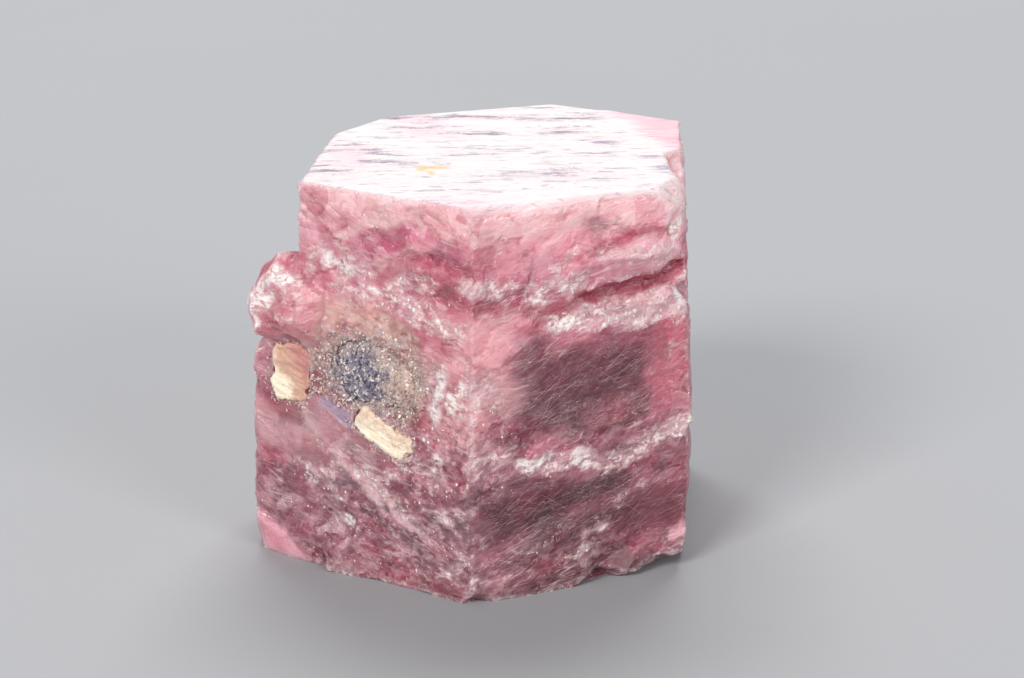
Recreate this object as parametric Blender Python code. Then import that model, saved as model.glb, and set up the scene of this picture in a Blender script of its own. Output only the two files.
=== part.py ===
"""A raw ruby crystal: a stubby six-sided prism with a flat top, grown and broken as the real stone is.

The stone is one solid. Host rock still sits in a hollow of its left front face: a lump of grey mica grains
and two cream flakes of calcite, each its own solid in its own pocket.
The work is done in millimetres, and each finished mesh is turned into metres at the end.
Frame: origin under the middle of the stone, +Z up along the prism, -Y towards the front edge.
"""

import math
import random

import bmesh
import bpy
from mathutils import Euler, Matrix, Vector, noise

# Driving dimensions, in millimetres.
HEIGHT = 6.85
TOP_LEVEL = HEIGHT
BASE_LEVEL = 0.0
FLAT_CUT = 0.012
STONE_REACH = 8.0
FINE_VOXEL = 0.07
CRYSTAL_TRIANGLES = 7900
POCKET_GAP = 0.03
LEDGE_STEP = 0.28
GOLDEN_TURN = 137.5
CHIPS_PER_EDGE = 4
MM = 0.001

# The six prism faces: direction that each looks in, degrees from +X, its distance from the prism's axis at
# the base, and how far it leans inwards on its way up, in degrees.
FACES = {
    "front_right": (-65, 3.95, 0.9),
    "right": (-4, 3.99, 3.3),
    "back_right": (56, 4.80, 1.5),
    "back_left": (112, 3.88, 0.9),
    "left": (175, 3.86, 0.9),
    "front_left": (-125, 3.72, 0.9),
}
RIGHT_UNDERCUT = (-4, 3.73, -2.5)
UPPER_LEFT = (175, 3.22, 3.0)
BACK_LEFT_EDGE = (150, 3.60, 3.0)
NOTCH_FLOOR = 3.95
NOTCH_FLOOR_RISE = 68


def direction(azimuth, elevation=0.0):
    """A unit vector from two angles in degrees."""
    a, e = math.radians(azimuth), math.radians(elevation)
    return Vector((math.cos(a) * math.cos(e), math.sin(a) * math.cos(e), math.sin(e)))


def frame_of(face, height=0.0):
    """A face's own axes: a point of it at this height, then the ways right, up and out of the stone."""
    if face == "top":
        return Vector((0, height, TOP_LEVEL)), Vector((1, 0, 0)), Vector((0, 1, 0)), Vector((0, 0, 1))
    azimuth, distance, lean = FACES[face]
    normal = direction(azimuth)
    distance -= height * math.tan(math.radians(lean))
    start = normal * distance + Vector((0, 0, height))
    return start, Vector((-normal.y, normal.x, 0)), Vector((0, 0, 1)), normal


def on_face(face, along, height, out=0.0):
    """A point on a face: along runs to the right as seen from outside, out leaves the stone."""
    start, right, _, normal = frame_of(face, height)
    return start + right * along + normal * out


def face_turn(face, tilt=0.0, lean=0.0):
    """Axes of a tool laid on a face: X along it, Y up it, Z out of it. Tilt turns it in the face."""
    _, right, up, normal = frame_of(face)
    stand = Matrix((right, up, normal)).transposed()
    in_face = Euler((0, 0, math.radians(tilt))).to_matrix()
    about_length = Euler((math.radians(lean), 0, 0)).to_matrix()
    return stand @ in_face @ about_length


def put_in_scene(name, shape):
    """Makes an object from a bmesh and frees the bmesh."""
    mesh = bpy.data.meshes.new(name)
    shape.to_mesh(mesh)
    shape.free()
    made = bpy.data.objects.new(name, mesh)
    bpy.context.scene.collection.objects.link(made)
    return made


def cleave(shape, point, normal):
    """Splits a convex block along a plane, keeps the side behind the normal and closes the cut."""
    parts = shape.verts[:] + shape.edges[:] + shape.faces[:]
    cut = bmesh.ops.bisect_plane(shape, geom=parts, plane_co=point, plane_no=normal, clear_outer=True)
    rim = [part for part in cut["geom_cut"] if isinstance(part, bmesh.types.BMEdge)]
    if rim:
        bmesh.ops.contextual_create(shape, geom=rim)


def cleave_through(shape, first, second, third):
    """Cleaves along the plane of three points and keeps the side that holds the stone's middle."""
    normal = (second - first).cross(third - first).normalized()
    middle = Vector((0, 0, HEIGHT / 2))
    if normal.dot(middle - first) > 0:
        normal.negate()
    cleave(shape, first, normal)


def prism():
    """The whole stone as flat faces: six sides, top, base and the large bevels at its corners."""
    shape = bmesh.new()
    bmesh.ops.create_cube(shape, size=4 * STONE_REACH)
    for azimuth, distance, lean in FACES.values():
        cleave(shape, direction(azimuth) * distance, direction(azimuth, lean))
    cleave(shape, Vector((0, 0, TOP_LEVEL)), Vector((0, 0, 1)))
    cleave(shape, Vector((0, 0, BASE_LEVEL)), Vector((0, 0, -1)))
    # The back left edge never grew to a point, and the right face pulls in towards the base.
    for azimuth, distance, lean in (BACK_LEFT_EDGE, RIGHT_UNDERCUT):
        cleave(shape, direction(azimuth) * distance, direction(azimuth, lean))
    # A small worn corner at the right of the top, and the bright bevel along the top edge beside it.
    cleave_through(
        shape,
        Vector((3.42, -1.6, TOP_LEVEL)),
        Vector((2.80, -3.00, TOP_LEVEL)),
        on_face("front_right", 2.15, 6.35),
    )
    cleave(shape, on_face("front_right", 0.3, 6.70), direction(-66, 50))
    # The base rises towards the right corner, and a facet crosses the lower left corner.
    cleave_through(
        shape,
        on_face("front_right", 0.4, 0.0),
        on_face("front_right", 2.1, 0.0, -0.75),
        on_face("front_right", 2.1, 0.30),
    )
    cleave_through(
        shape,
        on_face("front_left", -2.35, 0.70),
        on_face("front_left", -1.30, 0.0),
        on_face("front_left", -2.30, 0.10, -0.28),
    )
    # Broken lower corner at the back.
    cleave(shape, Vector((1.6, 4.3, 0.55)), direction(72, -42))
    return put_in_scene("ruby_crystal", shape)


def helper(made):
    """Marks an object as a tool that no render and no build shows."""
    made.hide_render = True
    made.display_type = "WIRE"
    return made


def shard(centre, radii, turn, seed, facets=18, first_cut=0.62):
    """A lump with flat facets and sharp corners, for what breaks off the stone and for what grows on it."""
    chance = random.Random(seed)
    shape = bmesh.new()
    bmesh.ops.create_cube(shape, size=2.0)
    for number in range(facets):
        spin, rise = number * GOLDEN_TURN + chance.uniform(-20, 20), 1 - 2 * (number + 0.5) / facets
        way = direction(spin, math.degrees(math.asin(rise)))
        cleave(shape, way * chance.uniform(first_cut, 0.95), way)
    place = Matrix.Translation(centre) @ turn.to_4x4() @ Matrix.Diagonal((*radii, 1.0))
    bmesh.ops.transform(shape, matrix=place, verts=shape.verts)
    return helper(put_in_scene("tool", shape))


def ledge(face, path, depth, above, below, seed):
    """A ragged step cut along a path on a face: steep above the path, a slope or a shelf below it.

    A negative depth gives a ridge to join on in place of a cut.
    """
    chance = random.Random(seed)
    stations = []
    for (along, height), (next_along, next_height) in zip(path, path[1:]):
        steps = max(2, round(abs(next_along - along) / LEDGE_STEP))
        for step in range(steps):
            share = step / steps
            stations.append((along + (next_along - along) * share, height + (next_height - height) * share))
    stations.append(path[-1])
    shape = bmesh.new()
    rings = []
    for number, (along, height) in enumerate(stations):
        ends = min(1.0, 0.08 + min(number, len(stations) - 1 - number) / 3)
        deep = depth * ends * chance.uniform(0.65, 1.25)
        height += chance.uniform(-0.3, 0.3) * min(above, below)
        top, low = above * ends * chance.uniform(0.7, 1.3), below * ends * chance.uniform(0.85, 1.15)
        level = math.copysign(0.12, depth)
        foot = height - low
        ring = ((height + top, level), (height, -deep), (foot, level), (foot + 0.7 * low, 3 * level))
        rings.append([shape.verts.new(on_face(face, along, up, out)) for up, out in ring])
    for ring, other in zip(rings, rings[1:]):
        for number in range(len(ring)):
            following = (number + 1) % len(ring)
            shape.faces.new((ring[number], other[number], other[following], ring[following]))
    shape.faces.new(rings[0])
    shape.faces.new(reversed(rings[-1]))
    bmesh.ops.recalc_face_normals(shape, faces=shape.faces)
    return helper(put_in_scene("tool", shape))


def combine(body, tools, operation):
    """Cuts all the tools from the body or joins them on in one Boolean, and removes the tools."""
    group = bpy.data.collections.new(operation)
    for tool in tools:
        group.objects.link(tool)
    step = body.modifiers.new(operation, "BOOLEAN")
    step.operation = operation
    step.operand_type = "COLLECTION"
    step.collection = group
    step.solver = "EXACT"
    settle(body)
    for tool in tools:
        bpy.data.objects.remove(tool)
    bpy.data.collections.remove(group)


def settle(made):
    """Turns an object's modifiers into plain mesh."""
    graph = bpy.context.evaluated_depsgraph_get()
    finished = bpy.data.meshes.new_from_object(made.evaluated_get(graph))
    made.modifiers.clear()
    worn_out = made.data
    made.data = finished
    finished.name = made.name
    bpy.data.meshes.remove(worn_out)


def upper_left_block():
    """What is missing at the upper left: only the lower part of the stone keeps its full width."""
    azimuth, distance, lean = UPPER_LEFT
    shape = bmesh.new()
    bmesh.ops.create_cube(shape, size=4 * STONE_REACH)
    cleave(shape, direction(azimuth) * distance, -direction(azimuth, lean))
    corner = direction(azimuth) * distance + Vector((0, 0, NOTCH_FLOOR))
    cleave(shape, corner, -direction(azimuth, NOTCH_FLOOR_RISE))
    return helper(put_in_scene("tool", shape))


# Lumps grown onto the stone: centre, radius and the seed of its facets.
LUMPS = {
    "side_nodule": (Vector((-3.20, -1.75, 4.85)), (0.92, 0.85, 0.90), 4),
    "nodule_knob": (Vector((-3.62, -1.85, 4.45)), (0.50, 0.55, 0.62), 9),
    "nodule_front": (Vector((-2.95, -2.25, 4.60)), (0.62, 0.50, 0.80), 12),
    "nodule_back": (Vector((-3.10, -0.35, 4.60)), (0.80, 0.90, 0.75), 15),
    "top_knob": (Vector((3.00, 2.30, 6.55)), (0.85, 0.95, 0.62), 21),
    "top_knob_back": (Vector((2.55, 3.30, 6.50)), (0.90, 0.90, 0.62), 27),
    "right_bump": (Vector((3.40, 1.50, 2.65)), (0.70, 0.60, 0.50), 33),
    "back_nodule": (Vector((-0.9, 3.50, 1.7)), (1.30, 0.85, 1.15), 41),
}

# Scars, where pieces broke off: face, along, height, out, half sizes along, up and out, tilt and lean.
SCARS = {
    "corner_chip": ("front_right", 2.02, 6.25, 0.05, (0.30, 0.30, 0.20), 6, 0),
    "under_top": ("front_right", 0.20, 6.22, 0.10, (1.55, 0.34, 0.18), 6, 0),
    "window": ("front_right", 0.10, 3.65, 0.07, (1.75, 0.80, 0.15), 0, 0),
    "right_window": ("front_right", 1.65, 3.60, 0.06, (0.75, 0.80, 0.14), -24, 0),
    "lower_window": ("front_right", 1.45, 1.15, 0.06, (1.05, 0.85, 0.16), 40, 0),
    "lower_window_left": ("front_right", -0.75, 1.45, 0.07, (1.15, 0.75, 0.15), 12, 0),
    "base_flake_edge": ("front_right", -1.95, 0.00, 0.06, (0.36, 0.28, 0.34), 0, 0),
    "base_flake_middle": ("front_right", 0.42, -0.02, 0.05, (0.55, 0.34, 0.40), 10, 0),
    "base_flake_right": ("front_right", 1.70, 0.10, 0.02, (0.50, 0.28, 0.38), 0, 0),
    "below_slab": ("front_left", 0.95, 5.34, 0.06, (1.75, 0.56, 0.19), 4, 0),
    "corner_window": ("front_left", -1.70, 2.70, 0.06, (0.75, 0.50, 0.16), -22, 0),
    "edge_scar": ("front_left", 1.75, 2.35, 0.05, (0.75, 0.60, 0.17), 30, 0),
    "lower_scar": ("front_left", -0.60, 1.05, 0.07, (0.95, 0.60, 0.17), 10, 0),
    "lower_scar_right": ("front_left", 1.30, 0.75, 0.07, (0.95, 0.55, 0.16), -14, 0),
    "base_flake_left": ("front_left", 1.35, -0.05, 0.16, (0.70, 0.28, 0.30), -4, 0),
    "right_upper": ("right", -1.20, 4.30, 0.10, (1.40, 0.75, 0.22), -12, 0),
    "right_scar": ("right", 1.60, 3.75, 0.10, (1.70, 0.95, 0.26), 16, 0),
    "right_low_scar": ("right", 1.30, 1.10, 0.12, (1.75, 0.90, 0.28), 8, 0),
    "right_top_hollow": ("right", -0.45, 6.95, 0.12, (1.35, 0.95, 0.52), 6, 0),
    "back_right_scar": ("back_right", -0.60, 4.90, 0.16, (2.10, 1.15, 0.36), -12, 0),
    "back_right_low": ("back_right", -0.70, 1.30, 0.12, (1.65, 0.95, 0.30), 14, 0),
    "back_left_scar": ("back_left", -0.55, 5.55, 0.12, (1.75, 0.80, 0.30), 8, 0),
    "back_left_low": ("back_left", 0.95, 1.25, 0.10, (1.50, 0.90, 0.28), -20, 0),
    "left_scar": ("left", 0.15, 2.55, 0.12, (1.75, 0.95, 0.28), 12, 0),
    "upper_left_scar": ("left", 0.60, 5.85, -0.74, (1.60, 0.70, 0.20), -14, 0),
    "hollow": ("front_left", 0.25, 3.78, 0.20, (1.62, 1.12, 0.50), -4, 0),
}

# Ragged steps: face, the path as (along, height) points, depth, and the reach above and below the path.
LEDGES = {
    "groove": ("front_right",
        ((-0.42, 4.86), (0.05, 5.20), (0.80, 5.22), (1.50, 5.36), (2.60, 5.62)), 0.27, 0.13, 0.60),
    "over_bulge": ("front_right", ((0.60, 6.00), (1.10, 6.14), (1.65, 6.14), (1.95, 6.02)), 0.11, 0.12, 0.05),
    "under_bulge": ("front_right", ((0.00, 5.50), (0.40, 5.44), (0.85, 5.56)), 0.10, 0.07, 0.12),
    "low_step": ("front_right", ((-1.80, 5.50), (-1.30, 5.46), (-0.70, 5.24), (0.00, 5.32)), 0.12, 0.06, 0.24),
    "cross_step": ("front_right", ((-0.62, 5.55), (-0.15, 5.90), (0.35, 5.92)), 0.10, 0.05, 0.20),
    "crack": ("front_right",
        ((-1.90, 2.42), (-1.40, 2.50), (-0.70, 2.34), (0.05, 2.36), (0.50, 2.26)), 0.14, 0.07, 0.20),
    "crack_right": ("front_right", ((0.35, 2.32), (1.10, 2.36), (1.55, 2.64), (2.60, 2.80)), 0.17, 0.06, 0.30),
    "over_crack": ("front_right", ((-1.50, 2.92), (-0.40, 2.84), (0.70, 3.02), (1.40, 2.94)), 0.07, 0.14, 0.12),
    "veil": ("front_right", ((-0.10, 0.42), (0.05, 0.82), (0.60, 1.28), (1.20, 1.68)), 0.07, 0.08, 0.12),
    "foot_facet": ("front_right", ((-1.80, 0.56), (-1.10, 0.52), (-0.45, 0.22)), 0.09, 0.05, 0.28),
    "slab_edge": ("front_left",
        ((-0.35, 5.84), (0.00, 5.58), (0.38, 5.58), (0.75, 5.74), (1.05, 5.92), (1.85, 6.04), (2.15, 5.86),
         (2.36, 5.84)), 0.16, 0.05, 0.45),
    "slab_tongue": ("front_left", ((0.30, 6.14), (0.95, 6.38), (1.60, 6.44), (2.20, 6.36)), 0.07, 0.04, 0.22),
    "slab_far": ("front_left", ((-1.70, 5.62), (-0.90, 5.46), (-0.40, 5.74)), 0.12, 0.06, 0.34),
    "over_hollow": ("front_left", ((-0.50, 5.16), (0.40, 5.10), (1.20, 4.88), (2.10, 4.66)), 0.10, 0.05, 0.24),
    "cross_crack": ("front_left",
        ((-1.30, 1.95), (-0.85, 1.78), (-0.45, 1.92), (0.20, 1.98), (0.95, 2.06)), 0.12, 0.05, 0.20),
    "vein": ("front_left", ((-1.20, 1.56), (-0.60, 1.50), (0.00, 1.34)), 0.08, 0.05, 0.14),
    "diagonal": ("front_left", ((0.70, 1.66), (1.00, 1.46), (1.30, 1.24), (1.75, 0.96)), 0.08, 0.06, 0.12),
    "facet_edge": ("front_left", ((-2.60, 2.60), (-1.75, 2.40), (-1.00, 1.95)), 0.09, 0.30, 0.07),
    "right_groove": ("right", ((-3.20, 5.14), (-1.20, 5.02), (0.60, 5.20), (2.10, 4.92)), 0.24, 0.14, 0.36),
    "right_crack": ("right", ((-3.20, 2.66), (-1.30, 2.42), (0.20, 2.58), (1.60, 2.30)), 0.16, 0.08, 0.30),
    "right_foot": ("right", ((-2.60, 1.10), (-1.20, 0.86), (0.20, 0.98)), 0.13, 0.08, 0.26),
    "back_right_step": ("back_right",
        ((-2.30, 3.30), (-0.90, 3.05), (0.60, 3.22), (2.20, 2.86)), 0.22, 0.10, 0.42),
    "back_right_foot": ("back_right", ((-1.90, 1.30), (-0.50, 1.02), (1.40, 1.22)), 0.15, 0.08, 0.32),
    "back_right_top": ("back_right", ((-2.20, 5.90), (-0.60, 6.10), (1.50, 5.80)), 0.15, 0.07, 0.34),
    "back_left_step": ("back_left",
        ((-1.90, 4.30), (-0.50, 4.55), (0.90, 4.36), (2.20, 4.62)), 0.22, 0.10, 0.40),
    "back_left_crack": ("back_left",
        ((-2.20, 2.75), (-0.90, 2.95), (0.60, 2.62), (1.90, 2.82)), 0.16, 0.08, 0.28),
    "back_left_foot": ("back_left", ((-1.80, 0.95), (-0.20, 1.12), (1.50, 0.80)), 0.13, 0.07, 0.28),
    "left_step": ("left", ((-1.90, 3.12), (-0.60, 3.34), (0.70, 3.05), (2.30, 3.25)), 0.17, 0.08, 0.32),
    "left_foot": ("left", ((-2.20, 1.25), (-0.90, 0.96), (0.60, 1.10), (2.10, 0.85)), 0.15, 0.08, 0.30),
    "terrace_front": ("top",
        ((-2.70, -2.55), (-0.60, -2.95), (1.40, -2.70), (3.20, -2.10)), 0.05, 0.10, 0.40),
    "terrace_middle": ("top",
        ((-2.90, -1.05), (-1.20, -0.85), (1.10, -1.15), (3.30, -0.90)), 0.06, 0.10, 0.50),
    "terrace_back": ("top", ((-2.60, 0.95), (-0.50, 0.70), (1.60, 1.05), (3.30, 0.80)), 0.07, 0.12, 0.45),
    "terrace_far": ("top", ((-2.10, 2.45), (-0.30, 2.75), (1.50, 2.40), (3.30, 2.85)), 0.08, 0.12, 0.50),
}

# What stands proud: the swollen bulge above the groove, and the seam of the slab along the front edge.
RIDGES = {
    "bulge": ("front_right", ((0.30, 5.78), (1.20, 5.80), (2.10, 5.80)), -0.14, 0.24, 0.28),
    "shelf_lip": ("front_right", ((-0.30, 4.56), (0.80, 4.50), (2.10, 4.54)), -0.05, 0.08, 0.08),
    "crack_ridge": ("front_right", ((-1.80, 2.22), (-0.40, 2.12), (0.40, 2.04)), -0.06, 0.10, 0.16),
    "white_flake": ("front_left", ((1.50, 3.05), (1.72, 3.50), (1.78, 3.98)), -0.07, 0.12, 0.12),
}

# The low swelling of the left front face near its base, given as the scars are.
SWELLINGS = {
    "base_swelling": ("front_left", -0.15, 0.35, -0.62, (1.85, 1.55, 0.98), 0, 0),
}


def edge_chips():
    """Small breaks along the prism's edges, which no real crystal is without."""
    chance = random.Random(7)
    chips = []
    names = list(FACES)
    for first, second in zip(names, names[1:] + names[:1]):
        (a, da, _), (b, db, _) = FACES[first], FACES[second]
        na, nb = direction(a), direction(b)
        spread = na.x * nb.y - na.y * nb.x
        corner = Vector(((da * nb.y - db * na.y) / spread, (db * na.x - da * nb.x) / spread, 0))
        for _ in range(CHIPS_PER_EDGE):
            radius = chance.uniform(0.07, 0.15)
            height = chance.uniform(0.3, TOP_LEVEL - 0.4)
            outwards = corner.normalized() * 0.5 * radius
            centre = corner * (1 - 0.012 * height) + outwards + Vector((0, 0, height))
            radii = (radius, radius, radius * chance.uniform(2.0, 4.5))
            chips.append(shard(centre, radii, Matrix.Identity(3), chance.random(), facets=10))
    return chips


def remesh(made, voxel):
    step = made.modifiers.new("even skin", "REMESH")
    step.mode = "VOXEL"
    step.voxel_size = voxel
    settle(made)


def ripple(made, size, height, seed, share_at):
    """Moves the skin in and out along its normals by smooth noise, and by share_at(point) of the height."""
    offset = Vector((seed * 3.7, seed * 1.9, seed * 5.3))
    # The normals are read before any vertex moves, as each move makes Blender work them all out again.
    outward = [vertex.normal.copy() for vertex in made.data.vertices]
    for vertex, normal in zip(made.data.vertices, outward):
        share = share_at(vertex.co)
        vertex.co += normal * noise.fractal(vertex.co / size + offset, 0.9, 2.1, 3) * height * share
    made.data.update()


def away_from_base_and_top(point):
    """0 on the base, which has to stay flat to rest on, and low on the smooth top."""
    above_base = min(1.0, max(0.0, (point.z - 0.05) / 0.3))
    below_top = min(1.0, max(0.0, (TOP_LEVEL - point.z) / 0.3))
    return above_base * (0.25 + 0.75 * below_top)


def thin_out(made, triangles):
    """Keeps the triangles where the surface bends and drops them where it is flat."""
    made.data.update()
    made.data.calc_loop_triangles()
    step = made.modifiers.new("fewer faces", "DECIMATE")
    step.ratio = triangles / len(made.data.loop_triangles)
    step.use_collapse_triangulate = True
    settle(made)


def slab(bottom):
    """A block wider than the stone that starts at one level and goes up from it."""
    shape = bmesh.new()
    bmesh.ops.create_cube(shape, size=2 * STONE_REACH)
    bmesh.ops.translate(shape, vec=(0, 0, bottom + STONE_REACH), verts=shape.verts)
    return helper(put_in_scene("tool", shape))


def shards(table):
    """The shards of a table, each laid on its face."""
    return [
        shard(on_face(face, along, height, out), radii, face_turn(face, tilt, lean), seed)
        for seed, (face, along, height, out, radii, tilt, lean) in enumerate(table.values(), 50)
    ]


def ledges(table):
    return [ledge(*row, seed) for seed, row in enumerate(table.values(), 90)]


def crystal():
    """The stone before its pockets are cut."""
    body = prism()
    combine(body, [upper_left_block()], "DIFFERENCE")
    upright = Matrix.Identity(3)
    lumps = [shard(centre, radii, upright, seed) for centre, radii, seed in LUMPS.values()]
    combine(body, lumps + shards(SWELLINGS) + ledges(RIDGES), "UNION")
    combine(body, [slab(TOP_LEVEL), slab(BASE_LEVEL - 2 * STONE_REACH)], "DIFFERENCE")
    combine(body, shards(SCARS) + ledges(LEDGES) + edge_chips(), "DIFFERENCE")
    remesh(body, FINE_VOXEL)
    ripple(body, 1.6, 0.03, 3, away_from_base_and_top)
    thin_out(body, CRYSTAL_TRIANGLES)
    # A last shaving makes the base one true plane, so that the stone stands still on it.
    combine(body, [slab(BASE_LEVEL + FLAT_CUT - 2 * STONE_REACH)], "DIFFERENCE")
    return body


# Host rock in the hollow: face, along, height, out, half sizes along, up and out, tilt and lean.
MICA = ("front_left", 0.26, 3.66, -0.36, (1.16, 0.68, 0.36), 3, 0)
MICA_SKIN = -0.12
MICA_GRAIN = 0.26
MICA_GRAIN_HEIGHT = 0.09
CALCITE = {
    "calcite_side": ("front_left", -1.42, 3.45, -0.13, (0.38, 0.44, 0.16), 6, 0),
    "calcite_low": ("front_left", 0.54, 2.70, -0.12, (0.62, 0.18, 0.15), -22, 0),
}
FLAKE_SLANT = 0.12
FLAKE_CORNERS = ((38, 0.86), (200, 0.90), (-62, 0.93), (118, 0.95))


def mica(grow):
    """The mica lump, a flattened ball. Its pocket is the same shape, grown by the gap."""
    face, along, height, out, half_sizes, tilt, lean = MICA
    shape = bmesh.new()
    bmesh.ops.create_icosphere(shape, subdivisions=3 if grow else 4, radius=1.0)
    size = Matrix.Diagonal((*(half + grow for half in half_sizes), 1.0))
    place = Matrix.Translation(on_face(face, along, height, out)) @ face_turn(face, tilt, lean).to_4x4()
    bmesh.ops.transform(shape, matrix=place @ size, verts=shape.verts)
    if grow:
        return shape
    # The outer side is cut back below the stone's face, and its skin is a crust of grains.
    for vertex in shape.verts:
        start, _, _, normal = frame_of(face, vertex.co.z)
        proud = (vertex.co - start).dot(normal) - MICA_SKIN
        if proud > 0:
            nearest = noise.voronoi(vertex.co / MICA_GRAIN)[0][0]
            share = min(1.0, proud / 0.03)
            vertex.co -= normal * (proud - share * MICA_GRAIN_HEIGHT * (1 - nearest))
    return shape


def flake(row, grow):
    """A cleavage flake of calcite: a slanted block with its corners broken off."""
    face, along, height, out, half_sizes, tilt, lean = row
    shape = bmesh.new()
    bmesh.ops.create_cube(shape, size=2.0)
    half_length, half_width, half_depth = half_sizes
    for vertex in shape.verts:
        slant = FLAKE_SLANT * vertex.co.y
        vertex.co.x = vertex.co.x * (half_length + grow) + slant
        vertex.co.y *= half_width + grow
        vertex.co.z *= half_depth + grow
    for turned, reach in FLAKE_CORNERS:
        way = direction(turned)
        widest = abs(way.x) * half_length + abs(way.y) * half_width
        cleave(shape, way * (widest * reach + grow), way)
    place = Matrix.Translation(on_face(face, along, height, out)) @ face_turn(face, tilt, lean).to_4x4()
    bmesh.ops.transform(shape, matrix=place, verts=shape.verts)
    return shape


# Colour, roughness and metallic of each piece.
FINISHES = {
    "ruby_crystal": ((0.48, 0.13, 0.20), 0.35, 0.0),
    "mica_patch": ((0.26, 0.25, 0.30), 0.55, 0.0),
    "calcite_side": ((0.80, 0.68, 0.55), 0.50, 0.0),
    "calcite_low": ((0.82, 0.72, 0.60), 0.50, 0.0),
}


def finish(piece):
    colour, roughness, metallic = FINISHES[piece.name]
    material = bpy.data.materials.new(piece.name)
    material.use_nodes = True
    shader = material.node_tree.nodes["Principled BSDF"]
    shader.inputs["Base Color"].default_value = (*colour, 1.0)
    shader.inputs["Roughness"].default_value = roughness
    shader.inputs["Metallic"].default_value = metallic
    material.diffuse_color = (*colour, 1.0)
    piece.data.materials.clear()
    piece.data.materials.append(material)


def main():
    for old in list(bpy.data.objects):
        bpy.data.objects.remove(old)
    stone = crystal()
    pockets = [mica(POCKET_GAP)] + [flake(row, POCKET_GAP) for row in CALCITE.values()]
    combine(stone, [helper(put_in_scene("tool", shape)) for shape in pockets], "DIFFERENCE")
    # The low flake lies across the edge of the mica, so the mica has room for it too.
    patch = put_in_scene("mica_patch", mica(0.0))
    low_pocket = helper(put_in_scene("tool", flake(CALCITE["calcite_low"], POCKET_GAP)))
    combine(patch, [low_pocket], "DIFFERENCE")
    pieces = [stone, patch]
    pieces += [put_in_scene(name, flake(row, 0.0)) for name, row in CALCITE.items()]
    # The origin goes under the middle of the stone, at its base, and millimetres turn to metres.
    corners = [vertex.co for vertex in stone.data.vertices]
    middle = [(min(c[axis] for c in corners) + max(c[axis] for c in corners)) / 2 for axis in (0, 1)]
    lowest = min(corner.z for corner in corners)
    to_frame = Matrix.Scale(MM, 4) @ Matrix.Translation((-middle[0], -middle[1], -lowest))
    for piece in pieces:
        piece.data.transform(to_frame)
        finish(piece)
        print(piece.name, len(piece.data.polygons), "faces")
    print("moved to the frame by", [round(-shift, 3) for shift in middle], "mm")


main()
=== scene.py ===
# %% [markdown]
# # A raw ruby crystal
#
# A ruby grows as a six-sided prism with a flat top, the habit of corundum. This one is about 8 mm wide.
# It has broken ledges down its sides, a nodule on its left shoulder, and a hollow that still holds grey
# mica grains and two cream flakes of calcite, the rock it grew in. We take the plain solids from the
# frame, give them finer skins, and then look after the finishes, the floor, the lights and the camera.

import math

import bmesh
import bpy
import numpy as np
from mathutils import Euler, Matrix, Vector, noise
from mathutils.bvhtree import BVHTree
from mathutils.kdtree import KDTree


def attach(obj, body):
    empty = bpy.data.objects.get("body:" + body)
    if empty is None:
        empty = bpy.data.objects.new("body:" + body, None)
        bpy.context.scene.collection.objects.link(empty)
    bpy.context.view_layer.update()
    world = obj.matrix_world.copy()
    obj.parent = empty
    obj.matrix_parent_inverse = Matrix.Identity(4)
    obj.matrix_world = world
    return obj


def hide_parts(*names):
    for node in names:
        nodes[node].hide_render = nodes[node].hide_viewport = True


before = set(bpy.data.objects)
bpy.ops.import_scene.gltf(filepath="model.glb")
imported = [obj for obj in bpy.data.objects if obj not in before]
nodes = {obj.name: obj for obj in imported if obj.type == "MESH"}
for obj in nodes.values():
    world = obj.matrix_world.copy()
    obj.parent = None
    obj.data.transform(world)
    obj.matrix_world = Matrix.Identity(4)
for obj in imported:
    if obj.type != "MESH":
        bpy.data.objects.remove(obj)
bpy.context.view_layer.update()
print("nodes:", sorted(nodes))

# %% [markdown]
# ## Millimetres
#
# The stone is so small that metres give awkward numbers. We keep every mesh in millimetres while we work
# on it and turn it into metres at the end. One helper turns screen colours, from 0 to 255, into the
# linear colours that Blender's shaders work in. The other is the soft step that every mask below is made
# of.

# %% Units and colours
MM = 0.001


def linear(red, green, blue):
    """A screen colour, 0 to 255 a channel, as linear light."""
    parts = [value / 255 for value in (red, green, blue)]
    return tuple(v / 12.92 if v <= 0.04045 else ((v + 0.055) / 1.055) ** 2.4 for v in parts)


def ramp(values, low, high):
    """0 below low, 1 above high and smooth between them."""
    share = np.clip((values - low) / (high - low), 0, 1)
    return share * share * (3 - 2 * share)


print("half of a screen's white is", round(linear(128, 128, 128)[0], 3), "of its light")

# %% [markdown]
# ## Meshes in and out
#
# The frame holds each solid as loose triangles in metres. We copy one, merge its points and scale it up.
# What a modifier makes is taken from the evaluated object as a plain mesh. Points travel to numpy and
# back in one go, because a Python loop over a hundred thousand points is slow.

# %% Mesh helpers
def add_object(name, data):
    made = bpy.data.objects.new(name, data)
    bpy.context.scene.collection.objects.link(made)
    return made


def object_from(shape, name):
    """Turns a bmesh into an object, and frees it."""
    mesh = bpy.data.meshes.new(name)
    shape.to_mesh(mesh)
    shape.free()
    return add_object(name, mesh)


def in_mm(node, name):
    """A copy of a CAD node in millimetres, with its loose triangles joined into one skin."""
    shape = bmesh.new()
    shape.from_mesh(nodes[node].data)
    bmesh.ops.remove_doubles(shape, verts=shape.verts, dist=1e-8)
    bmesh.ops.scale(shape, vec=(1 / MM,) * 3, verts=shape.verts)
    bmesh.ops.recalc_face_normals(shape, faces=shape.faces)
    return object_from(shape, name)


def settle(made):
    """Turns an object's modifiers into plain mesh."""
    graph = bpy.context.evaluated_depsgraph_get()
    finished = bpy.data.meshes.new_from_object(made.evaluated_get(graph))
    made.modifiers.clear()
    made.data = finished


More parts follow.
